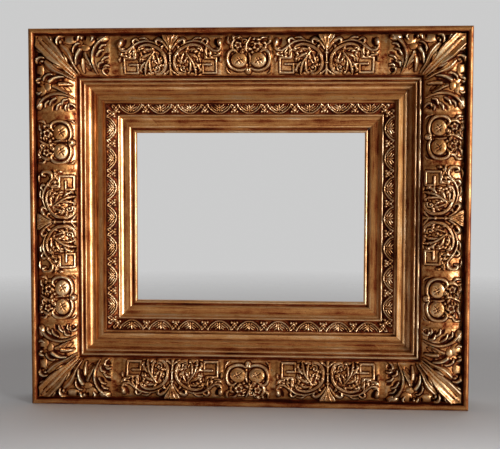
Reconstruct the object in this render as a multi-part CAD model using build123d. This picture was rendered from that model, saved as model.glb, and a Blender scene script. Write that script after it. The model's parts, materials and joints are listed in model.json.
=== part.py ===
from build123d import *

import math
import os

# An ornate gilded picture frame, standing on its lower edge, front towards -Y, +Z up.
# Places on a side are given as s along the run, u inwards from the outer edge, h up from the back.

# Picture that the frame holds
PICTURE_WIDTH = 305.0
PICTURE_HEIGHT = 229.0
PICTURE_PLAY = 3.0
SIGHT_LAP = 8.3
REBATE_DEPTH = 14.0

# Outer moulding, from the outer edge inwards
RAIL_BEAD_WIDTH = 6.8
RAIL_CREST_HEIGHT = 64.0
QUIRK_WIDTH = 2.0
QUIRK_DEPTH = 2.0
TORUS_WIDTH = 49.8
TORUS_CREST_HEIGHT = 60.0
TORUS_RADIUS = 48.7
TORUS_CREST_INSET = 22.2
FIRST_GROOVE_WIDTH = 2.0
FIRST_GROOVE_DEPTH = 3.0
FIRST_BEAD_WIDTH = 3.0
FIRST_BEAD_RISE = 1.4
SECOND_GROOVE_WIDTH = 1.8
SECOND_GROOVE_DROP = 3.0
SECOND_BEAD_WIDTH = 2.8
SECOND_BEAD_RISE = 1.3
HOLLOW_EDGE = 0.6
HOLLOW_WIDTH = 11.8
HOLLOW_DEPTH = 10.0
HOLLOW_FAR_RISE = 3.2
LIP_WIDTH = 6.7
LIP_STEP = 1.2
LIP_RISE = 0.9
LIP_THICKNESS = 5.4
LIP_LAP = 7.0

# Inner moulding, from the lip of the outer one inwards
STRIP_WIDTH = 2.6
FILLET_WIDTH = 1.9
FILLET_RISE = 2.6
CHANNEL_WIDTH = 12.4
CHANNEL_EDGE = 1.3
CHANNEL_FALL = 4.4
CHANNEL_QUIRK_WIDTH = 0.8
CHANNEL_QUIRK_DEPTH = 0.7
INNER_BEAD_WIDTH = 2.4
INNER_BEAD_RISE = 1.1
COVE_WIDTH = 5.6
COVE_FALL = 3.7
COVE_SAG = 1.0
FLAT_WIDTH = 6.6
FLAT_STEP = 1.2
FLAT_FALL = 0.5
OVOLO_WIDTH = 2.2
OVOLO_FALL = 2.6
SIGHT_GROOVE_WIDTH = 2.2
SIGHT_GROOVE_DEPTH = 1.8
SIGHT_BEAD_WIDTH = 3.8
SIGHT_BEAD_RISE = 1.3

# Clearances between pieces
MITRE_GAP = 0.1
LINER_CLEARANCE = 0.25
GLUE_LINE = 0.05
WOOD_FIT = 0.03
TURNING_CLEARANCE = 0.08
BUTTON_LIFT = 0.2

# Cast ornament
CASTING_MARGIN = 0.5
DRAWN_START = 8.8
DRAWN_WIDTH = 49.8
PAD_THICKNESS = 1.2
LOW_RELIEF = 2.8
HIGH_RELIEF = 4.6
CORNER_LENGTH = 104.0
CARTOUCHE_LENGTH = 57.4
FAN_LENGTH = 130.4
FAN_DRAWN_LENGTH = 140.0
BAND_MARGIN = 0.4
BAND_PAD = 0.7
BAND_RELIEF = 1.9
BAND_PERIOD = 39.0

# Side and distance from its middle, along the run, of each straight casting, as the photo shows them
CASTING_PLACES = {
    "fan_top_left": ("top", -96.2),
    "cartouche_top": ("top", 1.0),
    "fan_top_right": ("top", 96.2),
    "cartouche_right_upper": ("right", -101.0),
    "fan_right": ("right", -2.6),
    "cartouche_right_lower": ("right", 98.1),
    "fan_bottom_right": ("bottom", -100.0),
    "cartouche_bottom": ("bottom", 0.0),
    "fan_bottom_left": ("bottom", 94.9),
    "cartouche_left_lower": ("left", -99.8),
    "fan_left": ("left", -4.5),
    "cartouche_left_upper": ("left", 95.0),
}

# Steel V nails across the mitres
NAIL_WING = 7.0
NAIL_SHEET = 0.8
NAIL_LENGTH = 10.0
OUTER_NAIL_INSETS = (32.0, 58.0)

# Mending plates that hold the inner moulding in the outer one
PLATE_LENGTH = 42.0
PLATE_WIDTH = 14.0
PLATE_THICKNESS = 1.5
PLATE_HOLE_EDGE = 8.0

# Hanger straps and rings
STRAP_LENGTH = 22.0
STRAP_WIDTH = 14.0
STRAP_SHEET = 1.2
KNUCKLE_LENGTH = 9.0
HANGER_DROP = 150.0
HANGER_INSET = 40.0
RING_WIRE = 2.5
RING_RADIUS = 9.0
RING_CORNER = 3.0
RING_LEG = 3.5

# Turn buttons that keep the picture in
BUTTON_LENGTH = 34.0
BUTTON_WIDTH = 9.0
BUTTON_THICKNESS = 2.0
BUTTON_EDGE = 7.0
FITTING_SPACE = 34.0

# Slotted round-head screws
SCREW_SHANK = 3.2
SCREW_LENGTH = 13.0
SCREW_HEAD = 6.6
SCREW_HEAD_HEIGHT = 1.9
SCREW_SLOT = 0.8

# Insets of the outer moulding's edges
u_quirk = RAIL_BEAD_WIDTH
u_torus = u_quirk + QUIRK_WIDTH
u_torus_end = u_torus + TORUS_WIDTH
u_bead_1 = u_torus_end + FIRST_GROOVE_WIDTH
u_groove_2 = u_bead_1 + FIRST_BEAD_WIDTH
u_bead_2 = u_groove_2 + SECOND_GROOVE_WIDTH
u_hollow = u_bead_2 + SECOND_BEAD_WIDTH + HOLLOW_EDGE
u_lip = u_hollow + HOLLOW_WIDTH
u_outer_end = u_lip + LIP_WIDTH
u_liner_wall = u_outer_end - LIP_LAP

# Insets of the inner moulding's edges
u_liner = u_liner_wall + LINER_CLEARANCE
u_fillet = u_outer_end + STRIP_WIDTH
u_channel = u_fillet + FILLET_WIDTH
u_channel_end = u_channel + CHANNEL_WIDTH
u_inner_bead = u_channel_end + CHANNEL_QUIRK_WIDTH
u_cove = u_inner_bead + INNER_BEAD_WIDTH
u_flat = u_cove + COVE_WIDTH
u_ovolo = u_flat + FLAT_WIDTH
u_sight_groove = u_ovolo + OVOLO_WIDTH
u_sight_bead = u_sight_groove + SIGHT_GROOVE_WIDTH
moulding_width = u_sight_bead + SIGHT_BEAD_WIDTH
u_rebate = moulding_width - SIGHT_LAP

# Overall size
sight_width = PICTURE_WIDTH + PICTURE_PLAY - 2 * SIGHT_LAP
sight_height = PICTURE_HEIGHT + PICTURE_PLAY - 2 * SIGHT_LAP
frame_width = sight_width + 2 * moulding_width
frame_height = sight_height + 2 * moulding_width

# Swelling face that carries the ornament, an arc about this centre
u_torus_centre = u_torus + TORUS_CREST_INSET
h_torus_centre = TORUS_CREST_HEIGHT - TORUS_RADIUS


def torus_height(u):
    """Height of the swelling face at an inset."""
    return h_torus_centre + math.sqrt(TORUS_RADIUS ** 2 - (u - u_torus_centre) ** 2)


# Heights of the outer moulding's steps
h_rail_side = RAIL_CREST_HEIGHT - RAIL_BEAD_WIDTH / 2
h_quirk = torus_height(u_torus) - QUIRK_DEPTH
h_groove_1 = torus_height(u_torus_end) - FIRST_GROOVE_DEPTH
h_groove_2 = h_groove_1 - SECOND_GROOVE_DROP
h_hollow_floor = h_groove_2 - HOLLOW_DEPTH
h_hollow_far = h_hollow_floor + HOLLOW_FAR_RISE
h_lip = h_hollow_far - LIP_STEP
h_lip_under = h_lip - LIP_THICKNESS

# Heights of the inner moulding's steps
h_strip = h_lip_under - LINER_CLEARANCE
h_fillet = h_strip + FILLET_RISE
h_channel = h_fillet - CHANNEL_EDGE
h_channel_end = h_channel - CHANNEL_FALL
h_inner_bead = h_channel_end - CHANNEL_QUIRK_DEPTH
h_cove_end = h_inner_bead - COVE_FALL
h_flat = h_cove_end + FLAT_STEP
h_ovolo = h_flat - FLAT_FALL
h_sight_side = h_ovolo - OVOLO_FALL
h_sight_groove = h_sight_side - SIGHT_GROOVE_DEPTH

# The back plane lies so that the origin is midway between the front and the rear of the fittings
ring_axis_lift = RING_WIRE / 2 + TURNING_CLEARANCE + STRAP_SHEET
rear_reach = 2 * ring_axis_lift
front_reach = max(RAIL_CREST_HEIGHT, TORUS_CREST_HEIGHT + HIGH_RELIEF)
back_y = (front_reach - rear_reach) / 2

# Run length, distance of the outer edge from the centre, and turn about Y of each side
SIDES = {
    "top": (frame_width, frame_height / 2, 0),
    "right": (frame_height, frame_width / 2, 90),
    "bottom": (frame_width, frame_height / 2, 180),
    "left": (frame_height, frame_width / 2, 270),
}

# Sign of x and z, and turn about Y, of each corner
CORNERS = {
    "upper_left": (-1, 1, 0),
    "upper_right": (1, 1, 90),
    "lower_right": (1, -1, 180),
    "lower_left": (-1, -1, 270),
}

FACE_PLANE = Plane(origin=(0, 0, 0), x_dir=(1, 0, 0), z_dir=(0, -1, 0))
SECTION_PLANE = Plane(origin=(0, 0, 0), x_dir=(0, 0, -1), z_dir=(-1, 0, 0))
CENTRE = Pos(0, back_y, frame_height / 2)


def outline(start, *moves):
    """Closed face through points; a move of one point is a line, of two an arc by its middle and end."""
    edges = []
    at = start
    for move in (*moves, (start,)):
        if len(move) == 2:
            edges.append(ThreePointArc(at, move[0], move[1]))
        else:
            edges.append(Line(at, move[0]))
        at = move[-1]
    return make_face(edges)


def on_side(side, shape, along=0.0):
    """Turn a shape made on the upper side's middle to a side, moved along its run."""
    _, reach, turn = SIDES[side]
    return CENTRE * Rot(0, turn, 0) * Pos(along, 0, reach) * shape


def on_corner(corner, shape):
    """Turn a shape made at the upper left corner to a corner."""
    sign_x, sign_z, turn = CORNERS[corner]
    return CENTRE * Pos(sign_x * frame_width / 2, 0, sign_z * frame_height / 2) * Rot(0, turn, 0) * shape


def bar(section, length):
    """Straight bar of a (u, h) section, centred on the upper side's outer edge."""
    return extrude(SECTION_PLANE * section, length / 2, both=True)


def mitre_wedge(run):
    """Block that keeps what lies inside both 45 degree end cuts of a run."""
    half = run / 2 - MITRE_GAP
    deep = moulding_width + 1
    points = [(-half - 1, 1), (half + 1, 1), (half - deep, -deep), (deep - half, -deep)]
    plan = make_face(Polyline(*points, close=True))
    return extrude(FACE_PLANE * plan, 2 * front_reach, both=True)


def mitred_bar(section, run):
    """Bar of a (u, h) section with a 45 degree cut at each end."""
    return bar(section, run) & mitre_wedge(run)


def bead_top(u, width, height, rise):
    """Middle and end of a rounded bead that starts at an inset."""
    return (u + width / 2, height + rise), (u + width, height)


def outer_section():
    """Section of the outer moulding."""
    rail_r = RAIL_BEAD_WIDTH / 2
    h_torus_end = torus_height(u_torus_end)
    hollow_mid = (u_hollow + HOLLOW_WIDTH * 0.5, h_hollow_floor)
    return outline(
        (0, 0),
        ((0, h_rail_side),),
        ((rail_r, RAIL_CREST_HEIGHT), (RAIL_BEAD_WIDTH, h_rail_side)),
        ((u_quirk, h_quirk),),
        ((u_torus, h_quirk),),
        ((u_torus, torus_height(u_torus)),),
        ((u_torus_centre, TORUS_CREST_HEIGHT), (u_torus_end, h_torus_end)),
        ((u_torus_end, h_groove_1),),
        ((u_bead_1, h_groove_1),),
        bead_top(u_bead_1, FIRST_BEAD_WIDTH, h_groove_1, FIRST_BEAD_RISE),
        ((u_groove_2, h_groove_2),),
        ((u_bead_2, h_groove_2),),
        bead_top(u_bead_2, SECOND_BEAD_WIDTH, h_groove_2, SECOND_BEAD_RISE),
        ((u_hollow, h_groove_2),),
        (hollow_mid, (u_lip, h_hollow_far)),
        ((u_lip, h_lip),),
        ((u_outer_end, h_lip + LIP_RISE),),
        ((u_outer_end, h_lip_under),),
        ((u_liner_wall, h_lip_under),),
        ((u_liner_wall, 0),),
    )


def liner_section():
    """Section of the inner moulding, with the rebate for the picture behind its sight edge."""
    cove_mid = (u_cove + COVE_WIDTH / 2, (h_inner_bead + h_cove_end) / 2 - COVE_SAG)
    ovolo_mid = (u_ovolo + OVOLO_WIDTH * 0.7, h_sight_side + OVOLO_FALL * 0.7)
    return outline(
        (u_liner, 0),
        ((u_liner, h_strip),),
        ((u_fillet, h_strip),),
        ((u_fillet, h_fillet),),
        ((u_channel, h_fillet),),
        ((u_channel, h_channel),),
        ((u_channel_end, h_channel_end),),
        ((u_channel_end, h_inner_bead),),
        ((u_inner_bead, h_inner_bead),),
        bead_top(u_inner_bead, INNER_BEAD_WIDTH, h_inner_bead, INNER_BEAD_RISE),
        (cove_mid, (u_flat, h_cove_end)),
        ((u_flat, h_flat),),
        ((u_ovolo, h_ovolo),),
        (ovolo_mid, (u_sight_groove, h_sight_side)),
        ((u_sight_groove, h_sight_groove),),
        ((u_sight_bead, h_sight_groove),),
        bead_top(u_sight_bead, SIGHT_BEAD_WIDTH, h_sight_groove, SIGHT_BEAD_RISE),
        ((moulding_width, REBATE_DEPTH),),
        ((u_rebate, REBATE_DEPTH),),
        ((u_rebate, 0),),
    )


def torus_shell(thickness, length):
    """Skin of a thickness on the swelling face, along a length of the upper side."""
    low = TORUS_RADIUS + GLUE_LINE
    high = TORUS_RADIUS + thickness
    near = math.asin((u_torus + CASTING_MARGIN - u_torus_centre) / TORUS_RADIUS)
    far = math.asin((u_torus_end - CASTING_MARGIN - u_torus_centre) / TORUS_RADIUS)

    def at(radius, angle):
        return u_torus_centre + radius * math.sin(angle), h_torus_centre + radius * math.cos(angle)

    middle = (near + far) / 2
    section = outline(
        at(low, near),
        (at(low, middle), at(low, far)),
        (at(high, far),),
        (at(high, middle), at(high, near)),
    )
    return bar(section, length)


def petal(s, u, length, width, lean=0.0):
    """Leaf blade in plan; lean turns its tip from the outer edge towards the run's end."""
    return Pos(s, -u) * Ellipse(width / 2, length / 2, rotation=-lean)


def boss(s, u, radius):
    """Round knob in plan."""
    return Pos(s, -u) * Circle(radius)


def scroll(start, middle, end, width):
    """Curved stem in plan, through three (s, u) points."""
    points = [(s, -u) for s, u in (start, middle, end)]
    return SlotArc(ThreePointArc(*points), width)


def strap_box(s, u, length, width, line):
    """Strapwork rectangle in plan."""
    return Pos(s, -u) * (Rectangle(length, width) - Rectangle(length - 2 * line, width - 2 * line))


def both_ways(plan):
    """Plan with its mirror image about the run's middle."""
    return plan + mirror(plan, Plane.YZ)


def flower(s, u, radius, petals=6):
    """Small rosette in plan."""
    plan = boss(s, u, radius * 0.6)
    for turn in range(petals):
        angle = math.tau * turn / petals
        plan += boss(s + radius * 0.6 * math.cos(angle), u + radius * 0.6 * math.sin(angle), radius * 0.38)
    return plan


def fan_plans():
    """Low and high plans of the fan casting, on its drawn length."""
    high = boss(0, 27, 4.2) + petal(0, 43, 24, 5.5)
    for lean in (-56, -28, 0, 28, 56):
        tip = math.radians(lean)
        high += petal(12 * math.sin(tip), 25 - 11 * math.cos(tip), 18, 5.4, lean)
    side = scroll((8, 36), (25, 21), (43, 38), 4.6)
    side += scroll((10, 44), (18, 56), (27, 47), 3.4)
    side += boss(20, 49, 4.4)
    side += petal(30, 42, 17, 7, 18)
    side += petal(20, 33, 13, 6, -30)
    side += strap_box(50, 48.5, 23, 12, 2.6)
    side += scroll((41, 31), (47, 38), (59, 37), 2.6)
    side += scroll((40, 19), (51, 25), (60, 17), 3.6)
    side += boss(61, 15, 5)
    side += petal(30, 12, 14, 5, 40)
    return both_ways(side), high


def cartouche_plans():
    """Low and high plans of the cartouche casting."""
    high = both_ways(boss(13, 41, 10.5)) + petal(0, 50, 11, 7)
    low = both_ways(scroll((20, 27), (25, 47), (3, 54), 3.4))
    low += flower(8, 22, 6) + flower(-11, 17, 5.4)
    low += both_ways(scroll((21, 12), (25, 19), (19, 28), 3.2))
    return low, high


def corner_plans():
    """Low and high plans of one half of the corner leaf, from the corner along the run."""
    high = petal(34, 34, 74, 27, -45)
    low = petal(45, 25, 33, 11, -14)
    low += petal(62, 23, 31, 11, -4)
    low += boss(74, 42, 7)
    low += petal(73, 22, 22, 8, 4)
    low += scroll((86, 57), (79, 38), (97, 11), 6)
    for s, u in ((93, 20), (96, 29), (93, 38), (96, 47)):
        low += boss(s, u, 4.2)
    return low, high


def relief(plan, thickness, length):
    """Part of a torus skin under a plan."""
    return extrude(FACE_PLANE * plan, 2 * front_reach) & torus_shell(thickness, length)


def fitted(plan, stretch):
    """Plan stretched along the run and fitted to the width of the swelling face."""
    plan = scale(Pos(0, DRAWN_START) * plan, by=(stretch, TORUS_WIDTH / DRAWN_WIDTH, 1))
    return Pos(0, -u_torus) * plan


def casting(plans, length, drawn_length):
    """One casting of the swelling face, its plan stretched along the run to fit its length."""
    low, high = plans
    piece = torus_shell(PAD_THICKNESS, length)
    for plan, thickness in ((low, LOW_RELIEF), (high, HIGH_RELIEF)):
        piece += relief(fitted(plan, length / drawn_length), thickness, length)
    return piece


def corner_casting():
    """Corner leaf at the upper left corner, one half mirrored about the mitre."""
    low, high = corner_plans()
    run = 2 * CORNER_LENGTH
    half = torus_shell(PAD_THICKNESS, run)
    for plan, thickness in ((low, LOW_RELIEF), (high, HIGH_RELIEF)):
        plan = scale(Pos(-DRAWN_START, DRAWN_START) * plan, by=TORUS_WIDTH / DRAWN_WIDTH)
        half += relief(Pos(u_torus - CORNER_LENGTH, -u_torus) * plan, thickness, run)
    points = [(0, 0), (CORNER_LENGTH, 0), (CORNER_LENGTH, -u_torus_end), (u_torus_end, -u_torus_end)]
    keep = extrude(FACE_PLANE * make_face(Polyline(*points, close=True)), 2 * front_reach)
    half = Pos(CORNER_LENGTH, 0, 0) * half & keep
    return half + mirror(half, Plane(origin=(0, 0, 0), z_dir=(1, 0, 1)))


def band_section(thickness):
    """Section of a skin on the inner moulding's channel."""
    slope = CHANNEL_FALL / CHANNEL_WIDTH
    near = u_channel + BAND_MARGIN
    far = u_channel_end - BAND_MARGIN
    h_near = h_channel - slope * BAND_MARGIN
    h_far = h_channel_end + slope * BAND_MARGIN
    return outline(
        (near, h_near + GLUE_LINE),
        ((near, h_near + thickness),),
        ((far, h_far + thickness),),
        ((far, h_far + GLUE_LINE),),
    )


def leaf_band(run):
    """Narrow casting of swags and buds along one side of the inner moulding."""
    clear_run = run - 2 * u_channel_end
    count = max(1, round(clear_run / BAND_PERIOD))
    pitch = clear_run / count
    u_mid = (u_channel + u_channel_end) / 2
    reach = CHANNEL_WIDTH / 2 - BAND_MARGIN
    plan = petal(-run / 2 + u_mid, u_mid, CHANNEL_WIDTH, 4, -45)
    plan += petal(run / 2 - u_mid, u_mid, CHANNEL_WIDTH, 4, 45)
    for number in range(count):
        s = (number - (count - 1) / 2) * pitch
        ends = pitch * 0.36
        plan += scroll((s - ends, u_mid - reach), (s, u_mid + reach - 1), (s + ends, u_mid - reach), 1.6)
        plan += petal(s, u_mid - 1, CHANNEL_WIDTH - 5, 5)
        plan += boss(s + pitch / 2, u_mid + 2, 2.4)
    raised = extrude(FACE_PLANE * plan, 2 * front_reach) & bar(band_section(BAND_RELIEF), run)
    return (bar(band_section(BAND_PAD), run) + raised) & mitre_wedge(run)


def corner_nail(inset, slack):
    """V nail across the mitre at the upper left corner, let into the back."""
    depth = NAIL_LENGTH + slack
    sheet = NAIL_SHEET + slack
    wing = Box(NAIL_WING + slack, depth, sheet, align=(Align.MIN, Align.MAX, Align.CENTER))
    bend = Box(sheet, depth, sheet, align=(Align.CENTER, Align.MAX, Align.CENTER))
    nail = wing + Rot(0, 90, 0) * wing + bend
    return Pos(inset, 0, -inset) * nail


def fitting_screw(lift):
    """Round-head slotted screw along Y, its head seated at a lift above the back."""
    shank = Cylinder(SCREW_SHANK / 2, SCREW_LENGTH, align=(Align.CENTER, Align.CENTER, Align.MAX))
    head_r = SCREW_HEAD / 2
    ball_r = (head_r ** 2 + SCREW_HEAD_HEIGHT ** 2) / (2 * SCREW_HEAD_HEIGHT)
    ball = Pos(0, 0, SCREW_HEAD_HEIGHT - ball_r) * Sphere(ball_r)
    blank = Cylinder(head_r, SCREW_HEAD_HEIGHT, align=(Align.CENTER, Align.CENTER, Align.MIN))
    slot = Pos(0, 0, SCREW_HEAD_HEIGHT) * Box(SCREW_HEAD, SCREW_SLOT, SCREW_HEAD_HEIGHT)
    return Pos(0, lift, 0) * Rot(-90, 0, 0) * (shank + (ball & blank) - slot)


def pilot_hole(s, u):
    """Hole in the wood for a screw's shank, on the upper side."""
    hole = Cylinder(SCREW_SHANK / 2 + WOOD_FIT, 2 * SCREW_LENGTH)
    return Pos(s, 0, -u) * Rot(90, 0, 0) * hole


def through_hole(clearance):
    """Cylinder along Y for a screw's shank in a metal piece."""
    return Rot(90, 0, 0) * Cylinder(SCREW_SHANK / 2 + clearance, 4 * SCREW_HEAD_HEIGHT)


# Places of the fittings along the runs
button_u = u_rebate - BUTTON_EDGE
liner_nail_u = (u_liner + u_rebate) / 2
button_reach = BUTTON_LENGTH - BUTTON_WIDTH / 2
plate_along = button_reach + FITTING_SPACE + PLATE_WIDTH / 2
plate_u = u_liner_wall
plate_hole = PLATE_LENGTH / 2 - PLATE_HOLE_EDGE
hanger_along = {"left": frame_height / 2 - HANGER_DROP, "right": HANGER_DROP - frame_height / 2}
strap_hole = STRAP_LENGTH - STRAP_WIDTH / 2
plate_places = [(side, sign * plate_along) for side in ("left", "right") for sign in (-1, 1)]


def screw_places(side):
    """Every (s, u, lift) of a screw on the back of a side."""
    places = [(0, button_u, BUTTON_LIFT + BUTTON_THICKNESS + BUTTON_LIFT)]
    for name, along in plate_places:
        if name == side:
            places.append((along, plate_u - plate_hole, PLATE_THICKNESS))
            places.append((along, plate_u + plate_hole, PLATE_THICKNESS))
    if side in hanger_along:
        places.append((hanger_along[side], HANGER_INSET - strap_hole, STRAP_SHEET))
    return places


def rail(section, side, nail_insets):
    """Moulding of one side, with the nail slots and screw holes in its back."""
    run = SIDES[side][0]
    piece = mitred_bar(section, run)
    for inset in nail_insets:
        slot = corner_nail(inset, 2 * WOOD_FIT)
        piece -= Pos(-run / 2, 0, 0) * slot
        piece -= Pos(run / 2, 0, 0) * Rot(0, 90, 0) * slot
    for s, u, _ in screw_places(side):
        piece -= pilot_hole(s, u)
    return on_side(side, piece)


def mending_plate():
    """Flat steel plate across the joint of the two mouldings."""
    size = (PLATE_WIDTH, PLATE_THICKNESS, PLATE_LENGTH)
    plate = Box(*size, align=(Align.CENTER, Align.MIN, Align.CENTER))
    plate = fillet(plate.edges().filter_by(Axis.Y), PLATE_WIDTH / 4)
    for sign in (-1, 1):
        plate -= Pos(0, 0, sign * plate_hole) * through_hole(TURNING_CLEARANCE)
    return Pos(0, 0, -plate_u) * plate


def hanger_strap():
    """Folded strap with a knuckle for the ring's bar, the knuckle towards the opening."""
    sheet = Box(STRAP_WIDTH, STRAP_SHEET, STRAP_LENGTH, align=(Align.CENTER, Align.MIN, Align.MIN))
    sheet = fillet(sheet.edges().filter_by(Axis.Y).sort_by(Axis.Z)[-2:], STRAP_WIDTH * 0.45)
    knuckle = Rot(0, 90, 0) * Cylinder(ring_axis_lift, KNUCKLE_LENGTH)
    bore = Rot(0, 90, 0) * Cylinder(RING_WIRE / 2 + TURNING_CLEARANCE, 2 * STRAP_WIDTH)
    body = sheet + Pos(0, ring_axis_lift, 0) * knuckle
    for sign in (-1, 1):
        spare = Box(STRAP_WIDTH, 4 * ring_axis_lift, 4 * ring_axis_lift)
        body -= Pos(sign * (KNUCKLE_LENGTH + STRAP_WIDTH) / 2, 0, 0) * spare
    body -= Pos(0, ring_axis_lift, 0) * bore
    body -= Pos(0, 0, strap_hole) * through_hole(TURNING_CLEARANCE)
    return Pos(0, 0, -HANGER_INSET) * body


def hanger_ring():
    """Wire D ring on the knuckle's axis, lying flat and pointing towards the opening."""
    flat = RING_RADIUS - RING_CORNER
    tip = -RING_CORNER - RING_LEG
    bend = RING_CORNER * math.sqrt(0.5)
    path = Wire(
        [
            Line((-flat, 0), (flat, 0)),
            ThreePointArc((flat, 0), (flat + bend, bend - RING_CORNER), (RING_RADIUS, -RING_CORNER)),
            Line((RING_RADIUS, -RING_CORNER), (RING_RADIUS, tip)),
            ThreePointArc((RING_RADIUS, tip), (0, tip - RING_RADIUS), (-RING_RADIUS, tip)),
            Line((-RING_RADIUS, tip), (-RING_RADIUS, -RING_CORNER)),
            ThreePointArc((-RING_RADIUS, -RING_CORNER), (-flat - bend, bend - RING_CORNER), (-flat, 0)),
        ]
    )
    section = Plane(origin=(0, 0, 0), z_dir=(1, 0, 0)) * Circle(RING_WIRE / 2)
    ring = sweep(section, path=path)
    return Pos(0, ring_axis_lift, -HANGER_INSET) * Rot(90, 0, 0) * ring


def turn_button():
    """Flat button parked along the run, with the hole for its screw at one end."""
    plan = SlotOverall(BUTTON_LENGTH, BUTTON_WIDTH)
    shift = BUTTON_LENGTH / 2 - BUTTON_WIDTH / 2
    blade = Rot(90, 0, 0) * (Pos(shift, 0, 0) * extrude(plan, BUTTON_THICKNESS / 2, both=True))
    blade -= through_hole(TURNING_CLEARANCE)
    return Pos(0, BUTTON_LIFT + BUTTON_THICKNESS / 2, -button_u) * blade


def group(shapes):
    """Separate solids kept together in one node."""
    return Compound(children=[solid for shape in shapes for solid in shape.solids()])


def screws_for(keep):
    """Screws of every side whose (side, inset) passes a test."""
    screws = []
    for side in SIDES:
        for s, u, lift in screw_places(side):
            if keep(side, u):
                screws.append(on_side(side, Pos(s, 0, -u) * fitting_screw(lift)))
    return group(screws)


def ornament_nodes():
    """Castings on the swelling face, named by motif and place."""
    leaf = corner_casting()
    fan = casting(fan_plans(), FAN_LENGTH, FAN_DRAWN_LENGTH)
    cartouche = casting(cartouche_plans(), CARTOUCHE_LENGTH, CARTOUCHE_LENGTH)
    nodes = {}
    for corner in CORNERS:
        nodes[f"corner_leaf_{corner}"] = on_corner(corner, leaf)
    for name, (side, along) in CASTING_PLACES.items():
        nodes[name] = on_side(side, fan if name.startswith("fan") else cartouche, along)
    return nodes


def moulding_nodes():
    """Mouldings of the four sides and the leaf band on the inner one."""
    nodes = {}
    for side in SIDES:
        nodes[f"outer_rail_{side}"] = rail(outer_section(), side, OUTER_NAIL_INSETS)
        nodes[f"inner_rail_{side}"] = rail(liner_section(), side, (liner_nail_u,))
        nodes[f"leaf_band_{side}"] = on_side(side, leaf_band(SIDES[side][0]))
    return nodes


def fitting_nodes():
    """Nails, plates, hangers, turn buttons and screws on the back."""
    outer_nails = [on_corner(c, corner_nail(u, 0)) for c in CORNERS for u in OUTER_NAIL_INSETS]
    nodes = {"outer_corner_nails": group(outer_nails)}
    nodes["inner_corner_nails"] = group([on_corner(c, corner_nail(liner_nail_u, 0)) for c in CORNERS])
    nodes["mending_plates"] = group([on_side(side, mending_plate(), along) for side, along in plate_places])
    for side, along in hanger_along.items():
        nodes[f"hanger_strap_{side}"] = on_side(side, hanger_strap(), along)
        nodes[f"hanger_ring_{side}"] = on_side(side, hanger_ring(), along)
    for side in SIDES:
        nodes[f"turn_button_{side}"] = on_side(side, turn_button())
    nodes["turn_button_screws"] = screws_for(lambda side, u: u == button_u)
    nodes["hanger_screws"] = screws_for(lambda side, u: u == HANGER_INSET - strap_hole)
    nodes["plate_screws"] = screws_for(lambda side, u: abs(u - plate_u) == plate_hole)
    return nodes


os.makedirs("parts", exist_ok=True)
for name, shape in {**moulding_nodes(), **ornament_nodes(), **fitting_nodes()}.items():
    export_step(shape, f"parts/{name}.step")
print("overall", frame_width, frame_height, front_reach + rear_reach, "back plane at", back_y)
print("ring axis above the back", ring_axis_lift, "button pivot inset", button_u)
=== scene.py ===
"""Ornate gilded picture frame: its carved ornament, finishes and studio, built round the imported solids."""

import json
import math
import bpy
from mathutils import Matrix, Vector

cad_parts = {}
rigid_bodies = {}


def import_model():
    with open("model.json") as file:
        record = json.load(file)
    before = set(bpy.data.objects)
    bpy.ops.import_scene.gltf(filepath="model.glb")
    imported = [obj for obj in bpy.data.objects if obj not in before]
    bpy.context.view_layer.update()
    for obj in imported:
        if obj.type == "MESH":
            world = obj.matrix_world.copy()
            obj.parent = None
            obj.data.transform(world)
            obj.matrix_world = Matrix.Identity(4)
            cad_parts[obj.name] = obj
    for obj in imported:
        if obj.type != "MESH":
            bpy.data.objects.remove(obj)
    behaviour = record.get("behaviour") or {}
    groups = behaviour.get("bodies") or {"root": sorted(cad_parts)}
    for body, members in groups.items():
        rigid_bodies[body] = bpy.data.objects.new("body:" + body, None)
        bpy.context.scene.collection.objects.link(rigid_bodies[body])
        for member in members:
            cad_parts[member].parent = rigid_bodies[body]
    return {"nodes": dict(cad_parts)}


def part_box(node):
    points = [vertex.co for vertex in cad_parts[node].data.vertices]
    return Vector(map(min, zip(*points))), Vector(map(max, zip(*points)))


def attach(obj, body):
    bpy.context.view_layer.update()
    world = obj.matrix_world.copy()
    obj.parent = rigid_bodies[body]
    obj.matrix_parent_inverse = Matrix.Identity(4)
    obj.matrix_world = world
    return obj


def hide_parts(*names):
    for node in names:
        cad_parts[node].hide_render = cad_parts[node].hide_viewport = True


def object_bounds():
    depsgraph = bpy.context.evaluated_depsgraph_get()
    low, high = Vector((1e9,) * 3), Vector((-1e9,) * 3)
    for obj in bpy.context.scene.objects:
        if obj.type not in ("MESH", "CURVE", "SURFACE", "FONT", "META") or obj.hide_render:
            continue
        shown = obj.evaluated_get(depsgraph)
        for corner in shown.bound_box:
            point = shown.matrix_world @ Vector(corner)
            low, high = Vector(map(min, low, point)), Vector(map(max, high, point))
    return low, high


bl_info = {
    "name": "Gilded Frame",
    "version": (1, 0, 0),
    "blender": (4, 5, 0),
    "location": "View3D > Sidebar > Frame",
    "description": "Models the carved ornament of a gilded picture frame and finishes all its pieces",
    "category": "Object",
}

import bmesh
import bpy
import numpy as np
from bpy.props import FloatProperty, FloatVectorProperty, PointerProperty
from mathutils import Matrix, Vector

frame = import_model()

# The frame stands on its lower edge, centred on X, with its back at BACK and its front towards -Y
MM = 0.001
CAD_LOW, CAD_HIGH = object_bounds()
WIDTH = CAD_HIGH.x - CAD_LOW.x
HEIGHT = CAD_HIGH.z - CAD_LOW.z
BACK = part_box("outer_rail_top")[1].y
DEFAULT_OBJECTS = ("Cube", "Light", "Camera")
BODY = "frame"

# Sides in the order met going clockwise from the top, seen from the front
SIDES = ("top", "right", "bottom", "left")
CORNERS = ("upper_left", "upper_right", "lower_right", "lower_left")
FANS = [node for node in frame["nodes"] if node.startswith("fan_")]
CARTOUCHES = [node for node in frame["nodes"] if node.startswith("cartouche_")]


# Sizes and colours that a user would change

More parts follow.
